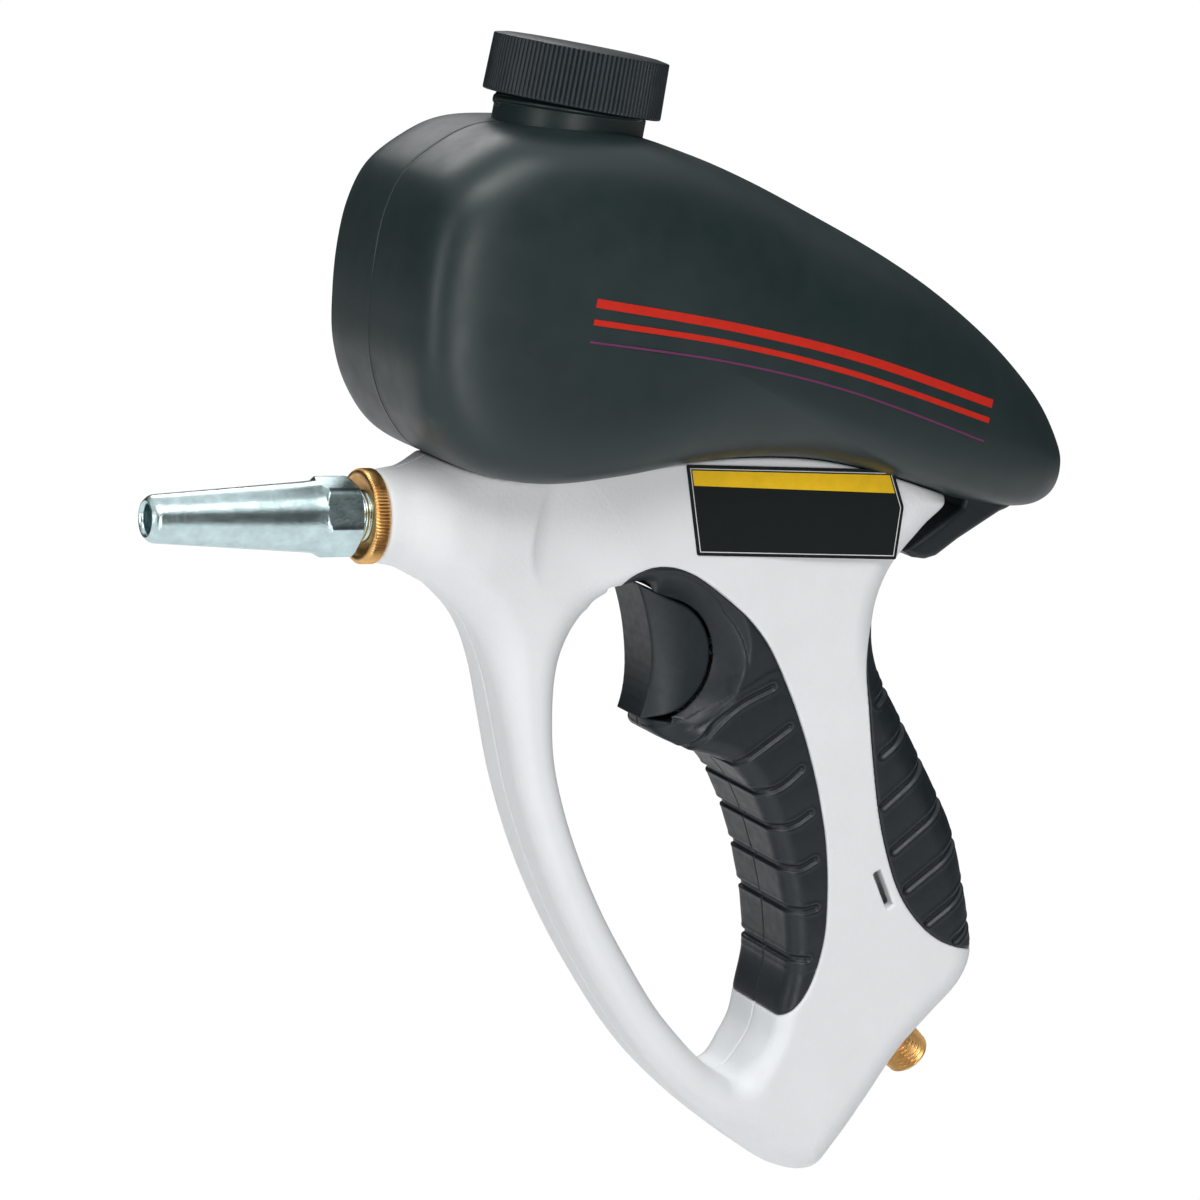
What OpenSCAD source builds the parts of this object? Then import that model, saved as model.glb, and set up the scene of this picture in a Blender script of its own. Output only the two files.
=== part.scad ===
// Gravity-feed abrasive blast gun with a moulded hopper, a D-shaped hand guard and a push trigger.
// X runs back from the nozzle mouth, Z is up, and -Y is the gun's left side. Millimetres.

/* [Nozzle and lock ring] */
// Radius of the nozzle's bore
nozzle_bore_r = 3.8; // [3:0.1:4.2]
// Radius of the cone at the mouth
nozzle_tip_r = 6.2; // [5.8:0.1:6.6]
// Radius of the cone where it meets the hexagon
nozzle_root_r = 9.3; // [8.8:0.1:9.4]
// Length of the cone
nozzle_cone_l = 46.5; // [44:0.5:47]
// Hexagon, across its flats
nozzle_hex_af = 19; // [18.8:0.1:19.2]
// Radius of the nozzle's threaded stem
stem_thread_r = 6.8; // [6.6:0.1:6.9]
// Radius of the knurled lock ring
ring_r = 12.5; // [12:0.1:12.8]
// Thickness of the lock ring
ring_t = 4.3; // [4:0.1:4.4]

/* [Housing] */
// Depth of the rounding on the housing's edges
edge_r = 10; // [8:0.5:10]
// Wall thickness of the plain housing
wall = 3; // [2.5:0.1:3.2]
// Thickness of the soft grips
grip_t = 3; // [2.8:0.1:3.2]
// Half width of the flat flanks behind the nose
flank_y = 19; // [18.5:0.5:19]
// Radius of the nose behind the lock ring
nose_r = 12.5; // [12.2:0.1:12.8]

/* [Hopper] */
// Half width of the hopper at its widest
hopper_y = 38; // [36:0.5:39]
// Wall thickness of the hopper
hopper_wall = 2.2; // [2:0.1:2.6]
// Lean of the neck towards the rear, degrees
neck_lean = 7; // [5:0.5:9]
// Radius of the neck
neck_r = 19.3; // [19:0.1:19.5]
// Radius of the neck's bore
neck_bore_r = 16.5; // [16:0.1:16.8]
// Radius of the cap at its skirt
cap_r = 23.7; // [23.4:0.1:24]
// Height of the cap's side
cap_h = 15; // [14:0.5:15.5]

/* [Trigger and valve] */
// Travel of the trigger
trigger_travel = 7; // [5:0.5:7]
// Half width of the trigger's body
trigger_y = 11; // [10.5:0.1:11.2]
// Height of the valve's axis
valve_z = -37.5; // [-38:0.5:-37]
// Radius of the valve body
valve_r = 8.5; // [8.2:0.1:8.6]
// Radius of the valve stem
valve_stem_r = 2.4; // [2.2:0.1:2.4]
// Radius of the inlet's threaded stub
inlet_r = 6.7; // [6.6:0.1:6.8]

/* [Hidden] */

$fn = 64;
fit = 0.05;
clear = 0.3;

// Places along the nozzle's axis
hex_x = nozzle_cone_l;
hex_l = 10;
ring_x = 58.8;
nose_x = ring_x + ring_t + 0.1;
stem_end_x = 80;
mixer_x = nose_x + 1;
mixer_r = 9;
port_x = 97;
mixer_end_x = 114;
jet_tip_x = 86;
jet_hex_l = 5;
jet_tail_x = mixer_end_x + jet_hex_l + 9;
gasket_z = 9;
spout_z = 10.2;
spout_r = 7.6;
port_r = 5;

// Supply tube, from the jet's tail to the valve's outlet
tube_r = 3.6;
tube_bore_r = 2.5;
tube_bend = 12;
outlet_x = 178;
outlet_z = valve_z + valve_r;

// Valve
valve_x = 171;
seat_x = 185;
spring_x = 188.4;
plug_x = 202;
plug_end_x = 208;
poppet_r = 4;
chamber_r = 5;

// Hose from the valve's inlet down the handle to the fitting
hose_x = 192;
hose_z = valve_z - valve_r - 2;
hose_r = 5;
hose_bore_r = 3.2;
hose_slope = -68;
hose_bend_a = 40;
hose_bend_b = 30;
inlet_dir = -45;
hose_end_l = 11;
hose_straight = 60;
hose_p1 = [hose_x, hose_z - hose_end_l];
hose_p2 = hose_p1 + turn(hose_bend_a, -90, hose_slope) + hose_straight * heading(hose_slope);
hose_p3 = hose_p2 + turn(hose_bend_b, hose_slope, inlet_dir) + hose_end_l * heading(inlet_dir);
inlet_hex_l = 4.5;
inlet_hex_af = 17;
barb_l = 10;
inlet_step = 3.1;
inlet_thread_l = 9.5;

// Neck frame: the centre of the cap's lower edge
cap_base = [111.5, 0, 108.6];
neck_foot = 12;
neck_top = 11.5;
liner_t = 1.2;

// Trigger
trigger_c = [144.5, -38];
trigger_arc = 16.6;
surround_slope = 0.8;
face_tip_top = [138.6, -17.6];
face_mid = [144.8, -38];
face_tip_low = [143.4, -55.4];
face_y = 8;

// Latch
latch_c = [251, 5.5];
latch_boss_r = 4;
latch_y = 10;
latch_pin_r = 1.5;

// Screws: [x, z] of each axis
screw_spots = [[109, -60], [141, -128], [196, -172], [204.5, -62], [209, 2], [131, 8.6], [245, -132]];
screw_r = 1.5;
screw_head_r = 3;
screw_head_y = 8.5;
boss_r = 3.6;

// Stations round the guard's loop: [outer x, outer z, hole x, hole z, half width, wall, outer wall]
LOOP = [
    [84, 19, 127, -19.2, 17, wall, 14], [104, 25, 132, -16.3, flank_y, wall, 20],
    [130, 28, 138, -15.4, flank_y, wall, 22], [155, 28, 141, -18, flank_y, wall, 22],
    [180, 27, 143, -24, flank_y, 5, 24], [203, 24, 145, -31, flank_y, 5.6, 24],
    [222, 15.5, 146, -38, flank_y, 5.6, 16], [230.3, 5, 146.5, -45, flank_y, 5.6, 10],
    [223.5, -3, 146.5, -52, flank_y, 5.6, 8], [214.8, -14.5, 146.8, -58.5, 18, 5.6, 6],
    [211.5, -28, 155.7, -62.6, 17.5, 5.6, 5.6], [214.5, -42, 166.3, -65.8, 17.5, 5.6, 5.6],
    [224.5, -58, 173.8, -71.8, 17.5, 5.6, 5.6], [234.3, -73, 179.6, -80.5, 17.5, 5.6, 5.6],
    [243.5, -88, 184.5, -91, 17, 5.6, 5.6], [249, -103, 188.5, -102.5, 17, 5.6, 5.6],
    [253, -117, 191.8, -115, 17, 5.6, 5.6], [255, -127, 193, -127, 16.5, 5.6, 5],
    [251.5, -136, 191.6, -138, 16.5, 4, 4], [242.8, -145, 190.4, -147, 16.5, wall, wall],
    [233.5, -155, 186.8, -153.5, 16.5, wall, wall], [225, -168, 183.4, -157.6, 16, wall, wall],
    [216.5, -180, 180, -159, 16, wall, wall], [209, -188, 177, -157.5, 15.5, wall, wall],
    [197, -186, 171, -153.5, 15, wall, wall], [182.4, -176.8, 163.5, -146.5, 15, wall, wall],
    [166.8, -164.6, 154, -136, 14.5, wall, wall], [152.2, -150.6, 144.5, -122.5, 14, wall, wall],
    [138.8, -133.4, 135.5, -108.5, 14, wall, wall], [126.3, -114.5, 128, -94.5, 14, wall, wall],
    [115.8, -94.7, 121.5, -79.5, 14, wall, wall], [107.7, -74.8, 117, -64.5, 14, wall, wall],
    [102.2, -56, 115.5, -50, 14.5, wall, wall], [97.7, -41.6, 116, -40, 15, wall, wall],
    [91, -28.3, 118.5, -32, 15.5, wall, wall], [81.6, -18.8, 121.5, -26, 16, wall, 6],
    [73, -10, 123, -24, 15.5, wall, 12], [73, 6, 124.3, -21.6, 15.5, wall, 12]];

// Rear edge of the front grip, seen from the side
FRONT_GRIP_EDGE = [[129.5, -21], [131.3, -14.2], [139.5, -11], [151, -13.8], [166, -24], [176, -34.5],
    [184, -48], [190.5, -62], [196, -77], [200, -92], [202, -108], [202, -120], [199.5, -131],
    [194.5, -138.5], [187, -143]];
// Front edge of the rear grip, seen from the side
REAR_GRIP_EDGE = [[212, -26.5], [209, -31], [207.6, -41], [209.5, -54], [212.7, -70], [217, -87], [224, -104],
    [232, -114.5], [241, -121], [252, -124.5]];

// Outline of the hopper in the middle plane
HOPPER = [
    [97, 104], [84, 102.5], [74, 97.5], [65.2, 90], [60.6, 80], [58.6, 68], [58.3, 55], [59.4, 42],
    [63.8, 29.8], [72, 19.6], [84, 14.5], [100, 12.5], [120, 14], [142, 16.5], [165, 17.5], [187, 16.2],
    [208, 12], [228, 6.4], [246, 2.8], [257, 1.8], [264.5, 2.8], [269.6, 6.2], [271.5, 12], [270, 18.8],
    [262.5, 30.5], [251, 42], [237, 53], [220, 64], [202, 73.5], [182, 82.5], [160, 91.6], [140, 98.3],
    [118, 103.6]];
HOPPER_MID = [135, 50];
HOPPER_RINGS = [0, 0.3, 0.55, 0.74, 0.86, 0.94, 0.985, 1];

function heading(a) = [cos(a), sin(a)];
function turn(r, a, b) = r * [sin(b) - sin(a), cos(a) - cos(b)];

// Points on a smooth curve through control rows, closed or open
function smooth(a, b, c, d, u) =
    0.5 * (2 * b + (c - a) * u + (2 * a - 5 * b + 4 * c - d) * u * u + (3 * b - a - 3 * c + d) * u * u * u);
function closed_curve(rows, steps) =
    let (n = len(rows))
    [for (i = [0:n - 1]) for (k = [0:steps - 1])
        smooth(rows[(i + n - 1) % n], rows[i], rows[(i + 1) % n], rows[(i + 2) % n], k / steps)];
function open_curve(rows, steps) =
    let (n = len(rows))
    [for (i = [0:n - 2]) for (k = [0:steps - (i < n - 2 ? 1 : 0)])
        smooth(rows[max(i - 1, 0)], rows[i], rows[i + 1], rows[min(i + 2, n - 1)], k / steps)];

// One cross-section of the housing: across from the hole to the outer edge, rounded at both ends
function section(s, inset_in, inset_out, shrink, base) =
    let (o = [s[0], s[1]], h = [s[2], s[3]], d = (o - h) / norm(o - h),
        a = h + d * inset_in, l = norm(o - h) - inset_in - inset_out,
        r = min(edge_r - shrink * 0.6, l * 0.45), b = s[4] - shrink,
        rise = [0, 30, 60, 90])
    concat(
        base < 0 ? [[a[0], base, a[1]]] : [],
        [for (p = rise) let (q = a + d * r * (1 - cos(p))) [q[0], b * sin(p), q[1]]],
        [for (p = rise) let (q = a + d * (l - r * (1 - sin(p)))) [q[0], b * cos(p), q[1]]],
        base < 0 ? [[a[0] + d[0] * l, base, a[1] + d[1] * l]] : []);

// A closed ring of sections as one solid
module section_ring(sections) {
    n = len(sections);
    m = len(sections[0]);
    polyhedron(
        points = [for (s = sections) each s],
        faces = [for (i = [0:n - 1]) for (j = [0:m - 1]) for (t = [0, 1])
            let (a = i * m + j, b = i * m + (j + 1) % m,
                c = ((i + 1) % n) * m + (j + 1) % m, d = ((i + 1) % n) * m + j)
            t == 0 ? [a, c, b] : [a, d, c]]);
}

// The right half of the gun's body at full size, in toward its own skin by a depth, or its hollow
module body_half() {
    section_ring([for (s = closed_curve(LOOP, 2)) section(s, 0, 0, 0, 0)]);
}
module core_half(depth) {
    section_ring([for (s = closed_curve(LOOP, 2)) section(s, depth, depth, depth, -1)]);
}
module hollow_half() {
    section_ring([for (s = closed_curve(LOOP, 2)) section(s, s[5], s[6], s[5], -1)]);
}

// A flat outline in the XZ plane, drawn out from y0 to y1
module side_prism(points, y0, y1) {
    translate([0, y1, 0]) rotate([90, 0, 0]) linear_extrude(y1 - y0) polygon(points);
}
module cross_pin(p, r, y0, y1) {
    translate([p[0], y1, p[1]]) rotate([90, 0, 0]) cylinder(r = r, h = y1 - y0);
}
module along_x(x0, x1, r1, r2) {
    translate([x0, 0, 0]) rotate([0, 90, 0]) cylinder(r1 = r1, r2 = r2, h = x1 - x0);
}
module hex_along_x(x0, x1, af) {
    translate([x0, 0, 0]) rotate([0, 90, 0]) cylinder(r = af / 2 / cos(30), h = x1 - x0, $fn = 6);
}
module inlet_axis(s) {
    p = hose_p3 + s * heading(inlet_dir);
    translate([p[0], 0, p[1]]) rotate([0, 90 - inlet_dir, 0]) children();
}

module front_grip_zone(y0, y1) {
    side_prism(concat(open_curve(FRONT_GRIP_EDGE, 2), [[172, -134], [125, -70], [129, -40]]), y0, y1);
}
module rear_grip_zone(y0, y1) {
    side_prism(concat(open_curve(REAR_GRIP_EDGE, 2), [[275, -124.5], [275, -26.5]]), y0, y1);
}

// The trigger's side outline with its edges moved out by grow, and its two front tips by reach along X
function trigger_outline(grow, reach) = concat(
    [face_tip_top + [reach, grow]],
    [for (a = [70:-10:-80]) trigger_c + (trigger_arc + grow) * heading(a)],
    [face_tip_low + [reach, -grow]]);

// Opening for the trigger through both sides, with room behind it for its travel
module trigger_space() {
    opening = trigger_outline(clear, -8 * clear);
    side_prism(opening, -30, 30);
    hull() {
        side_prism(opening, -trigger_y - clear, trigger_y + clear);
        translate([trigger_travel, 0, 0])
            side_prism(trigger_outline(clear, clear), -trigger_y - clear, trigger_y + clear);
    }
}

// Room inside the housing for the working parts, cut from both halves
module working_space() {
    along_x(nose_x - 1, mixer_end_x + 0.2, mixer_r + fit, mixer_r + fit);
    along_x(mixer_end_x, jet_tail_x + 3, 7, 7);
    translate([port_x, 0, 0]) cylinder(r = mixer_r + fit, h = gasket_z);
    translate([port_x, 0, gasket_z - 0.1]) cylinder(r = spout_r + clear, h = 12);
    translate([0, 0, valve_z]) along_x(valve_x - 0.1, plug_end_x + 0.5, valve_r + fit, valve_r + fit);
    translate([0, 0, valve_z]) along_x(161, valve_x, 4, 4);
    inlet_axis(-14) cylinder(r = hose_r + 1, h = 15);
    inlet_axis(-0.2) cylinder(r = 10.2, h = inlet_hex_l + 0.4);
    inlet_axis(inlet_hex_l) cylinder(r = inlet_r + 0.9, h = 20);
}

module bosses() {
    for (p = screw_spots) cross_pin(p, boss_r, 0, 14);
}

module housing_half() {
    difference() {
        union() {
            body_half();
            intersection() {
                union() {
                    along_x(nose_x, 76, nose_r, 16.5);
                    along_x(76, 84, 16.5, 17);
                }
                translate([0, 0, -30]) cube([200, 60, 60]);
            }
        }
        difference() {
            hollow_half();
            bosses();
            for (x = [118, 150]) translate([x, -1, -30]) cube([2, 30, 60]);
            translate([190, -1, -31]) cube([2.4, 30, 40]);
        }
        difference() {
            union() {
                front_grip_zone(-2, 40);
                rear_grip_zone(-2, 40);
            }
            core_half(grip_t);
        }
        intersection() {
            translate([0, -grip_t, 0]) surround_cone();
            front_grip_zone(0, 40);
        }
        along_x(100, 165, 8, 8);
        trigger_space();
        working_space();
        hopper_outside(0.4);
        for (p = screw_spots) cross_pin(p, screw_r, -1, 11);
    }
}

module housing_left() {
    color("whitesmoke") difference() {
        mirror([0, 1, 0]) housing_half();
        translate([219.7, -25, -104.5]) rotate([0, 62.5, 0]) translate([-6, 0, -1.3]) cube([12, 14, 2.6]);
    }
}

module housing_right() {
    color("whitesmoke") difference() {
        housing_half();
        for (p = screw_spots) {
            cross_pin(p, screw_r + 0.1, 1, 30);
            cross_pin(p, screw_head_r + clear, screw_head_y, 30);
        }
    }
}

module housing_screws() {
    color("dimgray") for (p = screw_spots) difference() {
        union() {
            cross_pin(p, screw_r, -9, screw_head_y + 0.01);
            cross_pin(p, screw_head_r, screw_head_y, screw_head_y + 2.9);
        }
        translate([p[0] - 0.4, 10, p[1] - 2]) cube([0.8, 2, 4]);
        translate([p[0] - 2, 10, p[1] - 0.4]) cube([4, 2, 0.8]);
    }
}

// The surround falls away towards the trigger as a wide cone about the cross axis. The cone starts a
// little inside the trigger's opening, so that it crosses the opening's wall.
module surround_cone() {
    inset = 1;
    rise = 8;
    r = trigger_arc + clear - inset;
    y = trigger_y + 1 - inset * surround_slope;
    translate([trigger_c[0], y, trigger_c[1]]) rotate([-90, 0, 0])
        cylinder(r1 = r, r2 = r + rise / surround_slope, h = rise);
}

module front_grip_half() {
    difference() {
        intersection() {
            body_half();
            front_grip_zone(0, 40);
        }
        surround_cone();
        difference() {
            core_half(grip_t - 0.05);
            translate([0, -grip_t + 0.05, 0]) surround_cone();
        }
        trigger_space();
        working_space();
    }
}
module front_grip_right() { color([0.13, 0.15, 0.16]) front_grip_half(); }
module front_grip_left() { color([0.13, 0.15, 0.16]) mirror([0, 1, 0]) front_grip_half(); }

module rear_grip_half() {
    difference() {
        intersection() {
            body_half();
            rear_grip_zone(0, 40);
        }
        core_half(grip_t - 0.05);
    }
}
module rear_grip_right() { color([0.13, 0.15, 0.16]) rear_grip_half(); }
module rear_grip_left() { color([0.13, 0.15, 0.16]) mirror([0, 1, 0]) rear_grip_half(); }

module side_label() {
    color("goldenrod") difference() {
        side_prism([[144.2, 16.7], [208.2, 14.9], [212.7, 4.6], [211.8, -10], [149.9, -7.9]],
            -flank_y - 0.35, -flank_y);
        hopper_outside(clear);
    }
}

module trigger() {
    steps = [for (i = [0:8]) i / 8];
    face = [for (u = steps)
        (1 - u) * (1 - u) * face_tip_low + 2 * u * (1 - u) * (2 * face_mid - (face_tip_low + face_tip_top) / 2)
        + u * u * face_tip_top];
    color([0.12, 0.13, 0.14]) difference() {
        union() {
            side_prism(concat([for (a = [70:-10:-80]) trigger_c + trigger_arc * heading(a)], face),
                -face_y, face_y);
            intersection() {
                side_prism(concat([for (a = [70:-10:-80]) trigger_c + trigger_arc * heading(a)],
                    [for (p = face) p + [2.5, 0]]), -trigger_y, trigger_y);
                side_prism(trigger_outline(0, 0), -trigger_y, trigger_y);
                translate([140, -20, -54.6]) cube([40, 40, 35]);
            }
        }
        translate([152, -6, -50]) cube([20, 12, 24]);
    }
    color([0.12, 0.13, 0.14]) translate([0, 0, valve_z]) along_x(151, 161.5, 3, 3);
}

module valve_stem() {
    color("silver") translate([0, 0, valve_z]) {
        along_x(161.5, seat_x + 0.1, valve_stem_r, valve_stem_r);
        along_x(seat_x, seat_x + 3, poppet_r, poppet_r);
        along_x(seat_x + 3, seat_x + 5, 1.5, 1.5);
    }
}

module ring_along_x(x, major, minor) {
    translate([x, 0, 0]) rotate([0, 90, 0]) rotate_extrude() translate([major, 0]) circle(minor, $fn = 24);
}

module stem_seal() {
    color("black") translate([0, 0, valve_z]) ring_along_x(173.5, valve_stem_r + 0.75 + fit, 0.75);
}

module valve_spring() {
    turns = 5;
    color("silver") translate([0, 0, valve_z]) rotate([0, 90, 0])
        coil(spring_x, plug_x - 0.4, 2.9, 0.45, turns);
}

// A round wire wound from z0 to z1
module coil(z0, z1, radius, wire_r, turns) {
    rings = turns * 12;
    sides = 6;
    polyhedron(
        points = [for (i = [0:rings]) let (a = i * 360 * turns / rings, z = z0 + wire_r
            + (z1 - z0 - 2 * wire_r) * i / rings)
            for (k = [0:sides - 1]) let (b = k * 360 / sides, r = radius + wire_r * cos(b))
            [r * cos(a), r * sin(a), z + wire_r * sin(b)]],
        faces = concat(
            [[for (k = [sides - 1:-1:0]) k]],
            [for (i = [0:rings - 1]) for (k = [0:sides - 1]) for (t = [0, 1])
                let (a = i * sides + k, b = i * sides + (k + 1) % sides, c = b + sides, d = a + sides)
                t == 0 ? [a, b, c] : [a, c, d]],
            [[for (k = [0:sides - 1]) rings * sides + k]]));
}

module valve_body() {
    color("goldenrod") difference() {
        union() {
            translate([0, 0, valve_z]) along_x(valve_x, plug_x, valve_r, valve_r);
            translate([outlet_x, 0, outlet_z - 1]) cylinder(r = tube_bore_r - fit, h = 9);
            translate([hose_x, 0, hose_z - 8]) cylinder(r = hose_bore_r - fit, h = 12);
        }
        translate([0, 0, valve_z]) {
            along_x(valve_x - 1, plug_x, valve_stem_r + fit, valve_stem_r + fit);
            along_x(172.7, 174.3, valve_stem_r + 1.6, valve_stem_r + 1.6);
            along_x(176, seat_x - 1, chamber_r, chamber_r);
            along_x(seat_x - 1.5, seat_x, 3.2, 3.2);
            along_x(seat_x, plug_x + 1, chamber_r, chamber_r);
        }
        translate([outlet_x, 0, valve_z]) cylinder(r = 1.6, h = 30);
        translate([hose_x, 0, valve_z - 30]) cylinder(r = 2.2, h = 30);
    }
}

module valve_plug() {
    color("goldenrod") translate([0, 0, valve_z]) difference() {
        union() {
            along_x(plug_x, plug_x + 2, valve_r, valve_r);
            hex_along_x(plug_x + 2, plug_end_x - 1, 12);
        }
        along_x(plug_x + 3, plug_end_x, 2.5, 2.5);
    }
}

module inlet_fitting() {
    s1 = inlet_hex_l;
    s2 = s1 + inlet_step;
    s3 = s2 + inlet_thread_l;
    chamfer = 0.6;
    collar_r = inlet_r + chamfer;
    barb_r = hose_bore_r - fit;
    bore_r = 2.4;
    mouth_r = 4.2;
    mouth_depth = 6;
    color([0.78, 0.6, 0.3]) difference() {
        union() {
            inlet_axis(0) rotate_extrude() polygon([
                [0, -barb_l], [barb_r, -barb_l], [barb_r, 1], [collar_r, 1], [collar_r, s2],
                [inlet_r, s2], [inlet_r, s3], [inlet_r - chamfer, s3 + chamfer], [0, s3 + chamfer]]);
            inlet_axis(0) cylinder(r = inlet_hex_af / 2 / cos(30), h = s1, $fn = 6);
        }
        inlet_axis(-barb_l - 1) rotate_extrude() polygon([
            [0, 0], [bore_r, 0], [bore_r, s3 + barb_l + 1 - mouth_depth],
            [mouth_r, s3 + barb_l + 1 - mouth_depth], [mouth_r, s3 + barb_l + 3], [0, s3 + barb_l + 3]]);
    }
}

// A tube of `sides` flats round a path of [x, z, direction] rows, open along its bore
module swept_tube(path, r_out, r_in, sides) {
    n = len(path);
    m = 2 * sides;
    polyhedron(
        points = [for (p = path) for (r = [r_out, r_in]) for (k = [0:sides - 1])
            let (a = k * 360 / sides, u = r * cos(a))
            [p[0] - u * sin(p[2]), r * sin(a), p[1] + u * cos(p[2])]],
        faces = concat(
            [for (i = [0:n - 2]) for (g = [0, 1]) for (k = [0:sides - 1]) for (t = [0, 1])
                let (a = i * m + g * sides + k, b = i * m + g * sides + (k + 1) % sides, c = b + m, d = a + m)
                g == 0 ? (t == 0 ? [a, c, b] : [a, d, c]) : (t == 0 ? [a, b, c] : [a, c, d])],
            [for (e = [0, n - 1]) for (k = [0:sides - 1]) for (t = [0, 1])
                let (a = e * m + k, b = e * m + (k + 1) % sides, c = b + sides, d = a + sides)
                e == 0 ? (t == 0 ? [a, b, c] : [a, c, d]) : (t == 0 ? [a, c, b] : [a, d, c])]));
}

module inlet_hose() {
    sides = 16;
    steps = 3;
    path = concat(
        [[hose_x, hose_z, -90]],
        [for (i = [0:steps]) let (a = -90 + (hose_slope + 90) * i / steps)
            concat(hose_p1 + turn(hose_bend_a, -90, a), [a])],
        [for (i = [0:steps]) let (a = hose_slope + (inlet_dir - hose_slope) * i / steps)
            concat(hose_p2 + turn(hose_bend_b, hose_slope, a), [a])],
        [concat(hose_p3, [inlet_dir])]);
    color([0.2, 0.2, 0.22]) swept_tube(path, hose_r, hose_bore_r / cos(180 / sides), sides);
}

module hose_ferrules() {
    color("silver") {
        translate([hose_x, 0, hose_z - 8]) difference() {
            cylinder(r = hose_r + 0.8, h = 5);
            translate([0, 0, -1]) cylinder(r = hose_r + fit + 0.4, h = 7);
        }
        inlet_axis(-8) difference() {
            cylinder(r = hose_r + 0.8, h = 5);
            translate([0, 0, -1]) cylinder(r = hose_r + fit + 0.1, h = 7);
        }
    }
}

module supply_shape(r, spare) {
    z1 = outlet_z + 2;
    translate([jet_tail_x - 8 - spare, 0, 0]) rotate([0, 90, 0])
        cylinder(r = r, h = outlet_x - tube_bend - jet_tail_x + 8 + spare + 0.01);
    translate([outlet_x - tube_bend, 0, -tube_bend]) rotate([90, 0, 0])
        rotate_extrude(angle = 90) translate([tube_bend, 0]) circle(r);
    translate([outlet_x, 0, z1 - spare]) cylinder(r = r, h = -tube_bend - z1 + spare + 0.01);
}

module supply_tube() {
    color([0.85, 0.85, 0.8]) difference() {
        supply_shape(tube_r, 0);
        supply_shape(tube_bore_r, 0.5);
    }
}

module tube_clips() {
    color("silver") {
        difference() {
            along_x(jet_tail_x - 7, jet_tail_x - 3, tube_r + 0.8, tube_r + 0.8);
            along_x(jet_tail_x - 8, jet_tail_x, tube_r + fit, tube_r + fit);
        }
        translate([outlet_x, 0, outlet_z + 3]) difference() {
            cylinder(r = tube_r + 0.8, h = 4);
            translate([0, 0, -1]) cylinder(r = tube_r + fit, h = 6);
        }
    }
}

module air_jet() {
    color([0.78, 0.6, 0.3]) difference() {
        union() {
            along_x(jet_tip_x, jet_tip_x + 4, 1.9, 3);
            along_x(jet_tip_x + 4, mixer_end_x - 8, 3, 3);
            along_x(mixer_end_x - 8, mixer_end_x + 0.6, 4, 4);
            hex_along_x(mixer_end_x + 0.6, mixer_end_x + jet_hex_l, 11);
            along_x(mixer_end_x + jet_hex_l, jet_tail_x, tube_bore_r - fit, tube_bore_r - fit);
        }
        along_x(jet_tip_x - 1, jet_tail_x + 1, 1.2, 1.2);
    }
}

module jet_seal() {
    color("black") difference() {
        along_x(mixer_end_x, mixer_end_x + 0.6, 5.4, 5.4);
        along_x(mixer_end_x - 1, mixer_end_x + 2, 4 + fit, 4 + fit);
    }
}

module mixing_body() {
    color("lightgray") difference() {
        union() {
            along_x(mixer_x, mixer_end_x, mixer_r, mixer_r);
            translate([port_x, 0, 0]) cylinder(r = mixer_r, h = gasket_z);
        }
        along_x(mixer_x - 1, stem_end_x + 2, stem_thread_r + fit, stem_thread_r + fit);
        along_x(stem_end_x + 1, mixer_end_x - 8, 6.2, 6.2);
        along_x(mixer_end_x - 9, mixer_end_x + 1, 4 + fit, 4 + fit);
        translate([port_x, 0, 0]) cylinder(r = port_r, h = 20);
    }
}

module nozzle() {
    nose = 2.2;
    color([0.8, 0.84, 0.86]) difference() {
        union() {
            translate([nose, 0, 0]) rotate([0, 90, 0]) rotate_extrude()
                translate([nozzle_tip_r - nose, 0]) circle(nose, $fn = 32);
            along_x(0, nose, nozzle_tip_r - nose, nozzle_tip_r - nose);
            along_x(nose, hex_x, nozzle_tip_r, nozzle_root_r);
            intersection() {
                hex_along_x(hex_x, hex_x + hex_l, nozzle_hex_af);
                along_x(hex_x, hex_x + hex_l, nozzle_root_r + 0.2, nozzle_root_r + 0.2 + hex_l * 0.9);
                along_x(hex_x, hex_x + hex_l, nozzle_root_r + 0.9 + hex_l * 1.2, nozzle_root_r + 0.9);
            }
            along_x(hex_x + hex_l - 0.01, stem_end_x, stem_thread_r, stem_thread_r);
        }
        along_x(-1, nozzle_cone_l, nozzle_bore_r, nozzle_bore_r);
        along_x(nozzle_cone_l - 0.01, stem_end_x + 0.01, nozzle_bore_r, 5.4);
    }
}

module lock_ring() {
    color([0.75, 0.55, 0.25]) difference() {
        union() {
            along_x(ring_x, ring_x + 0.5, ring_r - 0.5, ring_r);
            along_x(ring_x + 0.5, ring_x + ring_t, ring_r, ring_r);
        }
        along_x(ring_x - 1, ring_x + ring_t + 1, stem_thread_r + fit, stem_thread_r + fit);
        along_x(ring_x - 0.01, ring_x + 1.6, ring_r - 2, ring_r - 3.6);
    }
}

module nozzle_washer() {
    color("black") difference() {
        along_x(stem_end_x, stem_end_x + 1, 6.2, 6.2);
        along_x(stem_end_x - 1, stem_end_x + 2, 5.4, 5.4);
    }
}

// Unit normals of a closed outline, pointing out of it
function outward(p) =
    let (n = len(p))
    [for (i = [0:n - 1]) let (t = p[(i + 1) % n] - p[(i + n - 1) % n]) [-t[1], t[0]] / norm(t) * -1];

// Half width of the hopper at the middle of its flank, which narrows towards the tail
function flank(x) = hopper_y * (1 - 0.42 * pow(max(0, (x - 120) / 152), 1.6));
// Squareness of the hopper's section: rounder over the shoulders than at the front and below
function squareness(p) =
    let (out = p - HOPPER_MID, front = pow((1 - out[0] / norm(out)) / 2, 1.5))
    3.1 - 0.3 * min(1, max(0, out[1] / 50)) + 3.6 * front;

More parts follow.
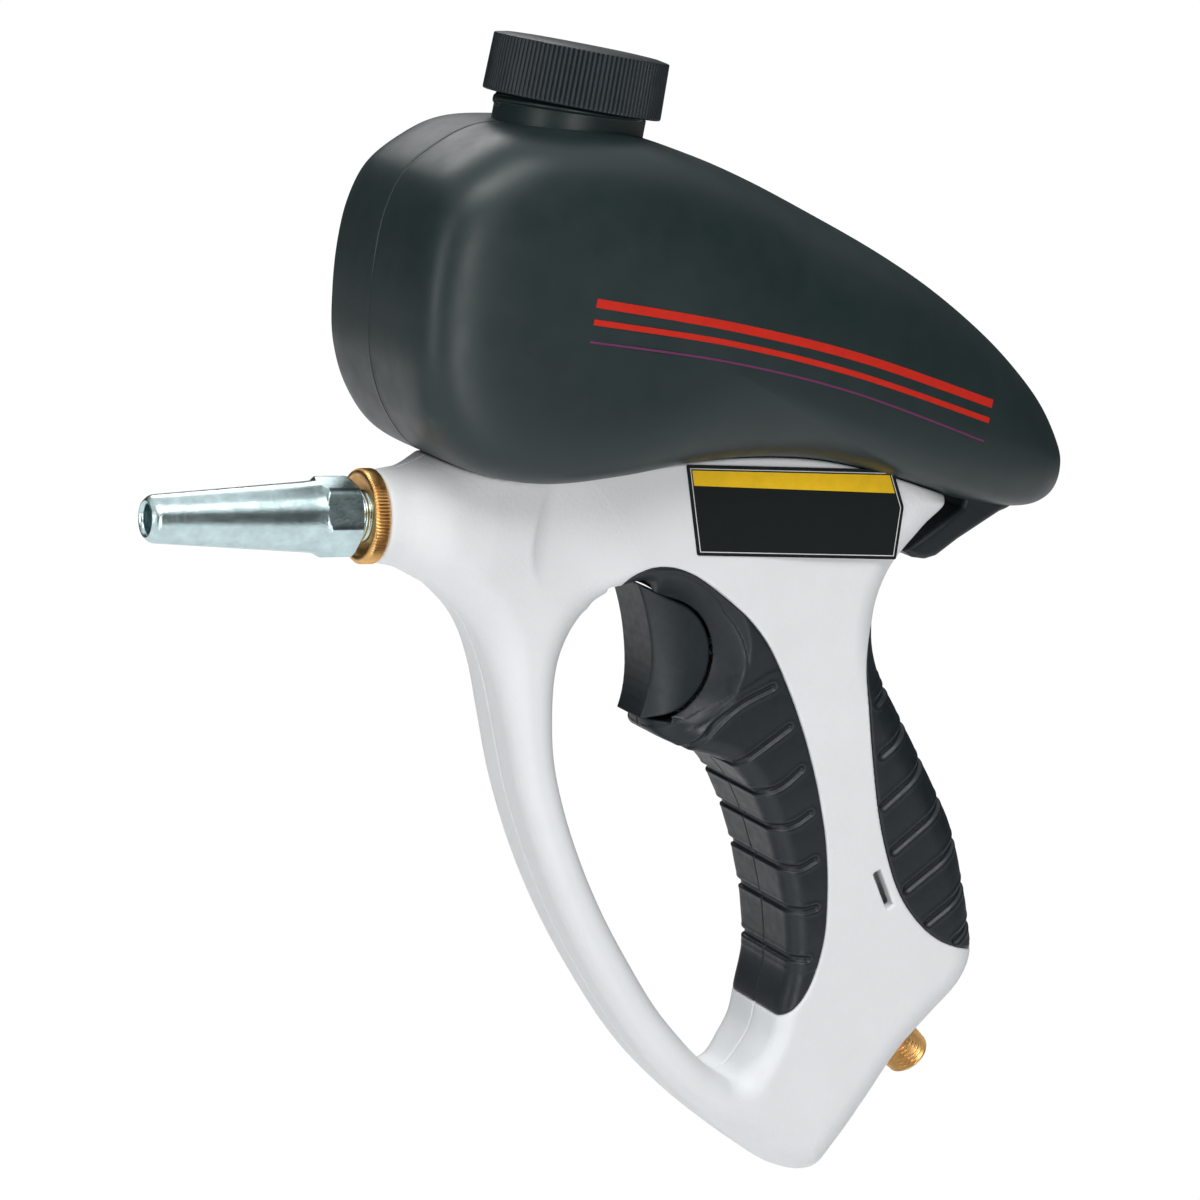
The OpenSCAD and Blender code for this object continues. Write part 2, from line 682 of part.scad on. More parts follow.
// The hopper's outside, grown by a depth
module hopper_outside(grow) {
    flat = closed_curve(HOPPER, 2);
    out = outward(flat);
    edge = [for (i = [0:len(flat) - 1]) flat[i] + out[i] * grow];
    n = len(edge);
    rings = concat([for (k = [1:len(HOPPER_RINGS) - 1]) [HOPPER_RINGS[k], 1]],
        [for (k = [len(HOPPER_RINGS) - 2:-1:1]) [HOPPER_RINGS[k], -1]]);
    m = len(rings);
    polyhedron(
        points = concat(
            [for (r = rings) for (e = edge)
                let (p = HOPPER_MID + r[0] * (e - HOPPER_MID), q = squareness(e))
                [p[0], r[1] * (flank(p[0]) + grow) * pow(1 - pow(r[0], q), 1 / q), p[1]]],
            [[HOPPER_MID[0], hopper_y + grow, HOPPER_MID[1]], [HOPPER_MID[0], -hopper_y - grow, HOPPER_MID[1]]]),
        faces = concat(
            [for (k = [0:m - 2]) for (i = [0:n - 1]) for (t = [0, 1])
                let (a = k * n + i, b = k * n + (i + 1) % n, c = b + n, d = a + n)
                t == 0 ? [a, c, b] : [a, d, c]],
            [for (i = [0:n - 1]) [m * n, i, (i + 1) % n]],
            [for (i = [0:n - 1]) [m * n + 1, (m - 1) * n + (i + 1) % n, (m - 1) * n + i]]));
}

module at_neck(z) {
    translate(cap_base) rotate([0, neck_lean, 0]) translate([0, 0, z]) children();
}

module hopper() {
    color([0.2, 0.23, 0.23]) difference() {
        union() {
            difference() {
                union() {
                    hopper_outside(0);
                    at_neck(-neck_foot) cylinder(r = neck_r, h = neck_foot + neck_top - liner_t);
                    translate([port_x, 0, spout_z]) cylinder(r = spout_r, h = 8);
                }
                difference() {
                    hopper_outside(-hopper_wall);
                    translate([236, -16, -5]) cube([30, 32, 18]);
                }
            }
        }
        at_neck(-neck_foot - 4) cylinder(r = neck_bore_r, h = 40);
        translate([port_x, 0, 0]) cylinder(r = port_r, h = 20);
        cross_pin(latch_c, latch_pin_r + 0.01, -13, 13);
        cross_pin(latch_c, latch_boss_r + 0.5, -latch_y - clear, latch_y + clear);
        side_prism([[latch_c[0] + 4.5, latch_c[1]], [latch_c[0] + 7, -6], [225, -16], [225, -2], [238, 12],
            [latch_c[0] - 2.6, latch_c[1] + 5]], -latch_y - clear, latch_y + clear);
    }
}

module outlet_gasket() {
    color("black") translate([port_x, 0, gasket_z]) difference() {
        cylinder(r = spout_r, h = spout_z - gasket_z);
        translate([0, 0, -1]) cylinder(r = port_r, h = 4);
    }
}

module cap_liner() {
    color("lightgray") at_neck(neck_top - liner_t) cylinder(r = neck_r, h = liner_t);
}

module hopper_cap() {
    color([0.12, 0.12, 0.13]) difference() {
        union() {
            at_neck(0) cylinder(r1 = cap_r, r2 = cap_r - 0.5, h = cap_h);
            at_neck(cap_h - 0.01) cylinder(r1 = cap_r - 1, r2 = cap_r - 5, h = 0.8);
        }
        at_neck(-1) cylinder(r = neck_r + 0.9, h = neck_top + 1 + clear);
    }
}

module hopper_latch() {
    color([0.14, 0.16, 0.17]) difference() {
        union() {
            cross_pin(latch_c, latch_boss_r, -latch_y, latch_y);
            side_prism([[latch_c[0] + 3.4, latch_c[1] - 2.2], [237.5, -6.8], [231, -11.4], [227.5, -12.3],
                [223.5, -11.8], [220, -9.8], [224, -7.4], [230.5, -3], [237.5, 2.6], [239.5, 8.4],
                [latch_c[0] - 1, latch_c[1] + 3.8]], -latch_y, latch_y);
        }
        cross_pin(latch_c, latch_pin_r + fit, -20, 20);
    }
}

module latch_pin() {
    color("silver") cross_pin(latch_c, latch_pin_r, -13, 13);
}

housing_left();
housing_right();
housing_screws();
front_grip_left();
front_grip_right();
rear_grip_left();
rear_grip_right();
side_label();
trigger();
valve_stem();
stem_seal();
valve_spring();
valve_body();
valve_plug();
inlet_fitting();
inlet_hose();
hose_ferrules();
supply_tube();
tube_clips();
air_jet();
jet_seal();
mixing_body();
nozzle();
lock_ring();
nozzle_washer();
hopper();
outlet_gasket();
cap_liner();
hopper_cap();
hopper_latch();
latch_pin();
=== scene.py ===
"""Looks of the blast gun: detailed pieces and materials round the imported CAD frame.

Lengths in the shapes are millimetres, in the frame of the CAD: X back from the nozzle's mouth, Z up,
-Y the gun's left side. They become metres when a piece is made.
"""

import math

import bpy
import numpy as np
from mathutils import Matrix, Vector


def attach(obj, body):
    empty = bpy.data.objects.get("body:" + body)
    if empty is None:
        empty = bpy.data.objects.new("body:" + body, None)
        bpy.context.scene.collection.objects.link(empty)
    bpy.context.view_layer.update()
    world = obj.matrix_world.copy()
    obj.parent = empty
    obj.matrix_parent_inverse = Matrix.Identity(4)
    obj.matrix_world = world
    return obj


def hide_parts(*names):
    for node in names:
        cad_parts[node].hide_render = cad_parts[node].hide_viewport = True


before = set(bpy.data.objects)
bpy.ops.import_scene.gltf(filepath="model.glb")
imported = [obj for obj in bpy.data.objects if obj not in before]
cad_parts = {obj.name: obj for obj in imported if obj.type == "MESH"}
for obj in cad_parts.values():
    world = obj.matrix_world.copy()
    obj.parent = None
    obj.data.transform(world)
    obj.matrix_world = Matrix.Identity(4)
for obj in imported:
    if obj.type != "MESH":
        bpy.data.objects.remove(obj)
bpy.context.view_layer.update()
MM = 0.001

# ---------------------------------------------------------------- shared sizes, as in the CAD

EDGE_R = 10.0
HOLE_EDGE_R = 5.0
REAR_EDGE, REAR_EDGE_LEAN = (149, -80), 0.45
WALL_GRIP = 3.0
SLOT_C, SLOT_L, SLOT_W, SLOT_TILT = (219.7, -104.5), 12, 2.6, math.radians(-62.5)
SLOT_Y, HOLLOW_Y = 2, 13
HEAD_R, HEAD_Y = 3.1, 11.3
FRONT_GRIP_T = 6.0
FLANK_Y = 19.0
FLAT_WITHIN = 0.06
SIDE_GAP = 0.2
TRIGGER_C = np.array([144.5, -38.0])
TRIGGER_ARC = 16.6
TRIGGER_TOP, TRIGGER_LOW = np.array([138.6, -17.6]), np.array([143.4, -55.4])
TRIGGER_MID = np.array([144.8, -38])
TRIGGER_Y = 11.0
TRIGGER_TRAVEL = 7.0
SURROUND_Y = 11.2
SURROUND_SLOPE = 0.85
CHIN_X = 145.6
LATCH_C = np.array([251.0, 5.5])
LATCH_Y = 10.0
RING_X = 58.8
RING_T = 4.3
RING_R = 12.5
HEX_X = 46.5
HEX_L = 10.0
STEM_R = 6.8
HEX_HALF = 9.5
NOSE_X = 63.2
NOSE = [(NOSE_X, 12.1), (70, 13.2), (78, 15.2), (90, 17)]
CAP_BASE = np.array([111.5, 0.0, 108.6])
NECK_LEAN = math.radians(7)
CAP_R = 23.7
CAP_H = 15.0
NECK_R = 19.3
NECK_BORE = 16.6
NECK_FOOT, NECK_TOP = -12, 11
THREAD_Z = -1.9
THREAD_PITCH = 5.5
THREAD_START = math.radians(170)
INLET_P = np.array([231.77, -147.37])
INLET_DIR = np.array([1.0, -1.0]) / math.sqrt(2)
INLET_R = 6.7

# Stations round the guard's loop: outer x, outer z, hole x, hole z, half width
LOOP = [
    (84, 19, 127, -19.2, 17), (104, 25, 132, -16.3, 19), (130, 28, 138, -15.4, 19), (155, 28, 141, -18, 19),
    (180, 27, 143, -24, 19), (203, 24, 145, -31, 19), (222, 15.5, 146, -38, 19), (230.3, 5, 146.5, -45, 19),
    (223.5, -3, 146.5, -52, 19), (214.8, -14.5, 146.8, -58.5, 18), (211.5, -28, 155.7, -62.6, 17.5),
    (214.5, -42, 166.3, -65.8, 17.5), (224.5, -58, 173.8, -71.8, 17.5), (234.3, -73, 179.6, -80.5, 17.5),
    (243.5, -88, 184.5, -91, 17), (249, -103, 188.5, -102.5, 17), (253, -117, 191.8, -115, 17),
    (255, -127, 193, -127, 16.5), (251.5, -136, 191.6, -138, 16.5), (242.8, -145, 190.4, -147, 16.5),
    (233.5, -155, 186.8, -153.5, 16.5), (225, -168, 183.4, -157.6, 16), (216.5, -180, 180, -159, 16),
    (209, -188, 177, -157.5, 15.5), (197, -186, 171, -153.5, 15), (182.4, -176.8, 163.5, -146.5, 15),
    (166.8, -164.6, 154, -136, 14.5), (152.2, -150.6, 144.5, -122.5, 14), (138.8, -133.4, 135.5, -108.5, 14),
    (126.3, -114.5, 128, -94.5, 14), (115.8, -94.7, 121.5, -79.5, 14), (107.7, -74.8, 117, -64.5, 14),
    (102.2, -56, 115.5, -50, 14.5), (97.7, -41.6, 116, -40, 15), (91, -28.3, 118.5, -32, 15.5),
    (81.6, -18.8, 121.5, -26, 16), (73, -10, 123, -24, 15.5), (73, 6, 124.3, -21.6, 15.5)]

# Edges of the two soft grips, seen from the side
FRONT_GRIP = [(129.5, -21), (131.3, -14.2), (139.5, -11), (151, -13.8), (166, -24), (176, -34.5),
              (184, -48), (190.5, -62), (196, -77), (200, -92), (202, -108), (202, -120), (199.5, -131),
              (194.5, -138.5), (187, -143)]
FRONT_GRIP_CLOSE = [(172, -134), (125, -70), (129, -40)]
REAR_GRIP = [(212, -26.5), (209, -31), (207.6, -41), (209.5, -54), (212.7, -70), (217, -87), (224, -104),
             (232, -114.5), (241, -121), (252, -124.5)]
REAR_GRIP_CLOSE = [(275, -124.5), (275, -26.5)]

# Grooves across the front grip: flank end, shoulder, and a point past the hole's edge
FRONT_GROOVES = [
    ((177.8, -45.2), (168.7, -49.4), (162.4, -54.4), (157.5, -59.5), (150, -66)),
    ((184.2, -56.5), (173.3, -64), (169, -66.6), (163, -68), (152, -71)),
    ((189.2, -68.6), (182.3, -73.6), (171, -76), (158, -78)),
    ((193.5, -81.3), (187.3, -84.6), (176.5, -85), (162, -84)),
    ((196.5, -94.8), (190.9, -97), (181, -95.5), (166, -91)),
    ((198.3, -108.6), (192.2, -109.3), (184, -107), (168, -101)),
    ((197.5, -123.5), (190.5, -123.2), (185, -120), (172, -113))]
# Grooves across the rear grip: flank end and a point past the rear edge
REAR_GROOVES = [
    ((212, -50.7), (224, -43)),
    ((214.6, -65.4), (223, -58.4), (236, -46)),
    ((216.6, -80.3), (230.6, -68.2), (244, -56)),
    ((221.6, -93.2), (238.1, -79.9), (252, -68)),
    ((227.2, -104.6), (244.2, -92), (258, -81)),
    ((235.2, -114.9), (248.9, -104.8), (262, -95)),
    ((245.1, -120.7), (252.4, -116), (266, -107))]

# Outline of the hopper in the middle plane
HOPPER = [
    (97, 104), (84, 102.5), (74, 97.5), (65.2, 90), (60.6, 80), (58.6, 68), (58.3, 55), (59.4, 42),
    (63.8, 29.8), (72, 19.6), (84, 14.5), (100, 12.5), (120, 14), (142, 16.5), (165, 17.5), (187, 16.2),
    (208, 12), (228, 6.4), (246, 2.8), (257, 1.8), (264.5, 2.8), (269.6, 6.2), (271.5, 12), (270, 18.8),
    (262.5, 30.5), (251, 42), (237, 53), (220, 64), (202, 73.5), (182, 82.5), (160, 91.6), (140, 98.3),
    (118, 103.6)]
HOPPER_MID = np.array([135.0, 50.0])
HOPPER_Y = 38.0

SCREWS = [(109, -60), (141, -128), (196, -172), (204.5, -62), (209, 2), (131, 8.6), (245, -132)]


# ---------------------------------------------------------------- curves and meshes

def spline(a, b, c, d, steps):
    """Points on a smooth curve from each b to its c, with a before them and d after."""
    u = (np.arange(steps) / steps)[None, :, None]
    curve = 0.5 * (2 * b + (c - a) * u + (2 * a - 5 * b + 4 * c - d) * u ** 2
                   + (3 * b - a - 3 * c + d) * u ** 3)
    return curve.reshape(-1, b.shape[-1])


def closed_curve(rows, steps):
    """Points on a smooth closed curve through the rows."""
    rows = np.asarray(rows, float)
    return spline(*(np.roll(rows, k, 0)[:, None, :] for k in (1, 0, -1, -2)), steps)


def open_curve(rows, steps):
    """Points on a smooth curve from the first row to the last."""
    rows = np.asarray(rows, float)
    long = np.concatenate([rows[:1], rows, rows[-1:]])
    curve = spline(*(long[k:len(long) - 3 + k][:, None, :] for k in range(4)), steps)
    return np.concatenate([curve, rows[-1:]])


def grid_quads(n, m, closed=True):
    """Quads over n rows of m points; each row closes into a ring unless told otherwise."""
    i, j = np.meshgrid(np.arange(n - 1), np.arange(m if closed else m - 1), indexing="ij")
    a, b = i * m + j, i * m + (j + 1) % m
    return np.stack([a, b, b + m, a + m], -1).reshape(-1, 4).tolist()


def make(name, points, faces, body, material, nodes=(), sharp=None):
    """A piece of the object from points in millimetres."""
    mesh = bpy.data.meshes.new(name)
    mesh.from_pydata((np.asarray(points, float) * MM).tolist(), [], faces)
    mesh.validate()
    mesh.shade_smooth()
    if sharp:
        mesh.set_sharp_from_angle(angle=math.radians(sharp))
    mesh.materials.append(material)
    ob = bpy.data.objects.new(name, mesh)
    bpy.context.scene.collection.objects.link(ob)
    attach(ob, body)
    if nodes:
        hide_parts(*nodes)
    return ob


def turned(profile, count, radius=None):
    """Points and faces of a round piece along +Z.

    Profile rows are (z, r), and radius(z, r, angles) shapes each of them.
    """
    angles = np.arange(count) * 2 * math.pi / count
    rows = []
    for z, r in profile:
        rr = np.full(count, r) if radius is None else radius(z, r, angles)
        rows.append(np.stack([rr * np.cos(angles), rr * np.sin(angles), np.full(count, z)], -1))
    return np.concatenate(rows), grid_quads(len(profile), count)


def along_x(points):
    """Turns points made along +Z to lie along +X."""
    p = np.asarray(points)
    return np.stack([p[:, 2], p[:, 0], p[:, 1]], -1)


def at_neck(points):
    """Puts points made along +Z on the neck's axis, from the cap's lower edge."""
    p = np.asarray(points)
    c, s = math.cos(NECK_LEAN), math.sin(NECK_LEAN)
    return np.stack([c * p[:, 0] + s * p[:, 2], p[:, 1], -s * p[:, 0] + c * p[:, 2]], -1) + CAP_BASE


def at_inlet(points):
    """Puts points made along +Z on the air inlet's axis."""
    p = np.asarray(points)
    d = INLET_DIR
    return np.stack([INLET_P[0] + d[0] * p[:, 2] - d[1] * p[:, 0], p[:, 1],
                     INLET_P[1] + d[1] * p[:, 2] + d[0] * p[:, 0]], -1)


def eased(corners, r, steps=4):
    """A turned profile with its inner corners rounded to about r."""
    corners = np.asarray(corners, float)
    out = [corners[0]]
    for a, b, c in zip(corners[:-2], corners[1:-1], corners[2:]):
        ta, tc = a - b, c - b
        la, lc = np.linalg.norm(ta), np.linalg.norm(tc)
        q = min(r, la * 0.45, lc * 0.45)
        pa, pc = b + ta / la * q, b + tc / lc * q
        for u in np.linspace(0, 1, steps):
            out.append((1 - u) ** 2 * pa + 2 * u * (1 - u) * b + u * u * pc)
    out.append(corners[-1])
    return [tuple(p) for p in out]


# ---------------------------------------------------------------- fields and their surfaces

def outline_distance(outline, x, z, carried=None):
    """Signed distance to a closed outline, negative inside, and a value carried to the nearest point."""
    best = np.full(x.shape, 1e9, np.float32)
    inside = np.zeros(x.shape, bool)
    value = np.zeros(x.shape, np.float32)
    n = len(outline)
    for i in range(n):
        a, b = outline[i], outline[(i + 1) % n]
        d = b - a
        px, pz = x - a[0], z - a[1]
        t = np.clip((px * d[0] + pz * d[1]) / max(d @ d, 1e-9), 0, 1)
        dist = (px - t * d[0]) ** 2 + (pz - t * d[1]) ** 2
        near = dist < best
        best = np.where(near, dist, best)
        if carried is not None:
            value = np.where(near, carried[i] + t * (carried[(i + 1) % n] - carried[i]), value)
        if a[1] != b[1]:
            inside ^= ((a[1] > z) != (b[1] > z)) & (px < d[0] * pz / d[1])
    best = np.sqrt(best)
    return np.where(inside, -best, best), value


def line_distance(line, x, z):
    """Distance to an open line."""
    best = np.full(x.shape, 1e9, np.float32)
    for a, b in zip(line[:-1], line[1:]):
        d = b - a
        t = np.clip(((x - a[0]) * d[0] + (z - a[1]) * d[1]) / (d @ d), 0, 1)
        best = np.minimum(best, (x - a[0] - t * d[0]) ** 2 + (z - a[1] - t * d[1]) ** 2)
    return np.sqrt(best)


def blurred(field, cells):
    """A field smoothed by three box passes of about that many cells."""
    k = max(1, int(round(cells)))
    for _ in range(3):
        for axis in (0, 1):
            pad = [(0, 0), (0, 0)]
            pad[axis] = (k + 1, k)
            total = np.cumsum(np.pad(field, pad, mode="edge"), axis=axis, dtype=np.float64)
            hi = np.take(total, np.arange(2 * k + 1, total.shape[axis]), axis)
            lo = np.take(total, np.arange(0, total.shape[axis] - 2 * k - 1), axis)
            field = ((hi - lo) / (2 * k + 1)).astype(np.float32)
    return field


def both(a, b, k):
    """The part inside both fields, with a rounded edge of about k."""
    h = np.maximum(k - np.abs(a - b), 0) / k
    return np.maximum(a, b) + h * h * k / 4


def either(a, b, k):
    """The part inside either field, with a filleted corner of about k."""
    return -both(-a, -b, k)


def step(u):
    """0 below 0, 1 above 1 and smooth between."""
    u = np.clip(u, 0, 1)
    return u * u * (3 - 2 * u)


EDGES = [(a, b) for a in range(8) for b in range(a + 1, 8) if bin(a ^ b).count("1") == 1]


def surface(field, origin, cell):
    """Points and quads on the zero level of a regular grid of values: one point in each crossed cell."""
    inside = field < 0
    corner = [(c & 1, (c >> 1) & 1, (c >> 2) & 1) for c in range(8)]
    n = [s - 1 for s in field.shape]
    count = sum(inside[a:a + n[0], b:b + n[1], c:c + n[2]].astype(np.uint8) for a, b, c in corner)
    active = (count > 0) & (count < 8)
    cells = np.argwhere(active)
    index = np.full(active.shape, -1, np.int32)
    index[active] = np.arange(len(cells))
    values = [field[cells[:, 0] + a, cells[:, 1] + b, cells[:, 2] + c] for a, b, c in corner]
    total, hits = np.zeros((len(cells), 3)), np.zeros(len(cells))
    for a, b in EDGES:
        va, vb = values[a], values[b]
        cross = (va < 0) != (vb < 0)
        t = np.where(cross, va / np.where(cross, va - vb, 1), 0)
        pa, pb = np.array(corner[a]), np.array(corner[b])
        total += np.where(cross[:, None], pa + t[:, None] * (pb - pa), 0)
        hits += cross
    points = cells + total / hits[:, None]
    quads = []
    for axis in range(3):
        lo = [slice(None)] * 3
        hi = [slice(None)] * 3
        lo[axis], hi[axis] = slice(None, -1), slice(1, None)
        change = inside[tuple(lo)].astype(np.int8) - inside[tuple(hi)].astype(np.int8)
        at = np.argwhere(change)
        u, v = (axis + 1) % 3, (axis + 2) % 3
        keep = (at[:, u] > 0) & (at[:, v] > 0) & (at[:, u] < n[u]) & (at[:, v] < n[v])
        at = at[keep]
        sign = change[tuple(at.T)]
        ring = []
        for du, dv in ((1, 1), (0, 1), (0, 0), (1, 0)):
            q = at.copy()
            q[:, u] -= du
            q[:, v] -= dv
            ring.append(index[tuple(q.T)])
        ring = np.stack(ring, -1)
        quads.append(np.where(sign[:, None] > 0, ring, ring[:, ::-1]))
    quads = np.concatenate(quads)
    points = settle(field, relax(points, quads))
    return origin + cell * points, quads.tolist()


def relax(points, quads):
    """Evens out the points once, so that quads don't bunch."""
    total, hits = np.zeros_like(points), np.zeros(len(points))
    for a in range(4):
        for b in (1, 3):
            np.add.at(total, quads[:, a], points[quads[:, (a + b) % 4]])
            np.add.at(hits, quads[:, a], 1)
    return 0.4 * points + 0.6 * total / hits[:, None]


def settle(field, points, rounds=3):
    """Moves points along the field's slope on to its zero level."""
    top = np.array(field.shape) - 2.001
    for _ in range(rounds):
        base = np.clip(points, 0, top)
        i = base.astype(int)
        f = base - i
        v = [[[field[i[:, 0] + a, i[:, 1] + b, i[:, 2] + c] for c in (0, 1)]
              for b in (0, 1)] for a in (0, 1)]
        wx, wy, wz = (np.stack([1 - f[:, k], f[:, k]]) for k in range(3))
        value = sum(v[a][b][c] * wx[a] * wy[b] * wz[c] for a in (0, 1) for b in (0, 1) for c in (0, 1))
        gx = sum((v[1][b][c] - v[0][b][c]) * wy[b] * wz[c] for b in (0, 1) for c in (0, 1))
        gy = sum((v[a][1][c] - v[a][0][c]) * wx[a] * wz[c] for a in (0, 1) for c in (0, 1))
        gz = sum((v[a][b][1] - v[a][b][0]) * wx[a] * wy[b] for a in (0, 1) for b in (0, 1))
        g = np.stack([gx, gy, gz], -1)
        move = -value[:, None] * g / np.maximum((g ** 2).sum(-1, keepdims=True), 1e-6)
        length = np.linalg.norm(move, axis=-1, keepdims=True)
        points = points + move * np.minimum(1, 0.5 / np.maximum(length, 1e-9))
    return points


class Space:
    """A box of grid points: x and z arrays for the side view, and y for the depth."""

    def __init__(self, low, high, cell):
        self.cell = cell
        self.origin = np.array(low, float)
        axes = [np.arange(lo, hi + cell, cell, dtype=np.float32) for lo, hi in zip(low, high)]
        self.x, self.z = np.meshgrid(axes[0], axes[2], indexing="ij")
        self.y = axes[1][None, :, None]

    def flat(self, a):
        """A side-view field, ready to meet the depth."""
        return a[:, None, :]

    def deep(self, a):
        """A side-view field at every depth."""
        return self.flat(a) + 0 * self.y

    def mesh(self, field):
        return surface(field, self.origin, self.cell)


# ---------------------------------------------------------------- the hopper's shape

def flank(x):
    """Half width of the hopper at the middle of its flank."""
    return HOPPER_Y * (1 - 0.42 * np.maximum(0, (x - 120) / 152) ** 1.6)


def squareness(x, z):
    """How square the hopper's section is: rounder over the shoulders than at the front and below."""
    out_x, out_z = x - HOPPER_MID[0], z - HOPPER_MID[1]
    front = ((1 - out_x / np.maximum(np.hypot(out_x, out_z), 1e-6)) / 2) ** 1.5
    return 3.1 - 0.3 * np.clip(out_z / 50, 0, 1) + 3.6 * front


HOPPER_LINE = closed_curve(HOPPER, 12)
_around = np.arctan2(HOPPER_LINE[:, 1] - HOPPER_MID[1], HOPPER_LINE[:, 0] - HOPPER_MID[0])
_order = np.argsort(_around)
_reach = np.hypot(*(HOPPER_LINE - HOPPER_MID).T)


def hopper_reach(x, z):
    """Distance from the hopper's middle to its outline, towards a point."""
    return np.interp(np.arctan2(z - HOPPER_MID[1], x - HOPPER_MID[0]), _around[_order], _reach[_order],
                     period=2 * math.pi)


def hopper_field(s):
    """The hopper's outside as a field over a space."""
    dx, dz = s.x - HOPPER_MID[0], s.z - HOPPER_MID[1]
    here = np.hypot(dx, dz)
    reach = hopper_reach(s.x, s.z)
    share_z = reach / np.maximum(here, 1e-6)
    q = s.flat(squareness(HOPPER_MID[0] + dx * share_z, HOPPER_MID[1] + dz * share_z))
    flat, _ = outline_distance(closed_curve(HOPPER, 4), s.x, s.z)
    # makes the field's values near the surface true distances
    gap = np.abs(here - reach)
    scale = s.flat(np.where(gap > 0.5, np.abs(flat) / np.maximum(gap, 0.5), 1) * reach).astype(np.float32)
    share = s.flat(here / reach)
    side = np.abs(s.y) / s.flat(flank(s.x))
    return ((share ** q + side ** q) ** (1 / q) - 1) * scale


def hopper_y(x, z):
    """Half width of the hopper's surface at a point of the side view."""
    x, z = np.asarray(x, float), np.asarray(z, float)
    reach = hopper_reach(x, z)
    here = np.hypot(x - HOPPER_MID[0], z - HOPPER_MID[1])
    out = reach / here
    q = squareness(HOPPER_MID[0] + (x - HOPPER_MID[0]) * out, HOPPER_MID[1] + (z - HOPPER_MID[1]) * out)
    return flank(x) * np.maximum(0, 1 - (here / reach) ** q) ** (1 / q)


# ---------------------------------------------------------------- the housing's shape

LOOP_LINE = closed_curve(LOOP, 6)
OUTER, HOLE, WIDTH = LOOP_LINE[:, :2], LOOP_LINE[:, 2:4], LOOP_LINE[:, 4]


def body_field(s):
    """The housing's outside before the grips and pockets are cut, for y of 0 and over."""
    to_outer, w_outer = outline_distance(OUTER, s.x, s.z, WIDTH)
    to_hole, w_hole = outline_distance(HOLE, s.x, s.z, WIDTH)
    band = np.maximum(to_outer, -to_hole)
    a, b = np.abs(to_outer), np.abs(to_hole)
    width = blurred((w_outer * b + w_hole * a) / np.maximum(a + b, 1e-6), 4 / s.cell)
    # the hole's rear edge, along the grip, is rounded less than all the others
    behind = s.x - REAR_EDGE[0] - REAR_EDGE_LEAN * (REAR_EDGE[1] - s.z)
    rear = step(0.5 + behind / 16) * step(0.5 + (a - b) / 12)
    edge = EDGE_R - (EDGE_R - HOLE_EDGE_R) * rear
    r = blurred(np.minimum(edge, 0.45 * (a + b)), 2.5 / s.cell)
    across = s.flat(band + r)
    up = np.abs(s.y) - s.flat(width - r)
    f = (np.minimum(np.maximum(across, up), 0) + np.hypot(np.maximum(across, 0), np.maximum(up, 0))
         - s.flat(r)).astype(np.float32)
    # the nose behind the lock ring
    around = np.hypot(s.flat(s.z), s.y) - s.flat(np.interp(s.x, *zip(*NOSE)))
    nose = both(both(around, s.deep(NOSE_X - s.x), 1.0), s.deep(s.x - 100), 1.0)
    return either(f, nose.astype(np.float32), 7.0)


def prism(s, flat, half):
    """A flat field drawn out to both sides."""
    return np.maximum(s.flat(flat), np.abs(s.y) - half)


def trigger_outline(grow, travel=0.0):
    """The trigger's side outline, or an opening round it with room for its travel.

    An opening reaches ahead of the trigger's face, so that it cuts through the body's edge.
    """
    angles = np.radians(np.arange(70, -81, -5))
    arc = TRIGGER_C + (TRIGGER_ARC + grow) * np.stack([np.cos(angles), np.sin(angles)], -1) + [travel, 0]
    top, low = TRIGGER_TOP + [0, grow], TRIGGER_LOW - [0, grow]
    moved = [[top + [travel + grow, 0]], [low + [travel + grow, 0]]] if travel else [[], []]
    ahead = [8 * grow, 0]
    return np.array([top - ahead, *moved[0], *arc, *moved[1], low - ahead])


def pockets(s, f):
    """Cuts what the trigger, the inlet and the hopper need out of the body."""
    through, _ = outline_distance(trigger_outline(SIDE_GAP), s.x, s.z)
    f = both(f, s.deep(-through), 0.25)
    deep, _ = outline_distance(trigger_outline(SIDE_GAP, TRIGGER_TRAVEL), s.x, s.z)
    f = np.maximum(f, -prism(s, deep, TRIGGER_Y + SIDE_GAP))
    rel_x, rel_z = s.x - INLET_P[0], s.z - INLET_P[1]
    run = rel_x * INLET_DIR[0] + rel_z * INLET_DIR[1]
    off = rel_x * INLET_DIR[1] - rel_z * INLET_DIR[0]
    f = both(f, -np.maximum(np.hypot(s.flat(off), s.y) - INLET_R - 0.9, -s.flat(run)), 0.5)
    return both(f, SIDE_GAP - hopper_field(s), 0.8)


def zone(s, edge, close):
    """Signed side-view distance to a grip's area, negative inside it."""
    outline = np.concatenate([open_curve(edge, 8), np.array(close, float)])
    return outline_distance(outline, s.x, s.z)[0]


def seam(s, f):
    """Ends the half just short of the middle plane, with a fine groove."""
    return both(f, 0.04 - s.y, 0.45)


def ring_reach(angle):
    """Radius of the bulging surround's outer crease, by direction from the trigger's centre."""
    return np.interp(angle, np.radians([-100, -61, -33, -17, 5, 38, 70, 95]),
                     [20.5, 21.4, 23.0, 25.2, 24.4, 22.0, 23.5, 25.5])


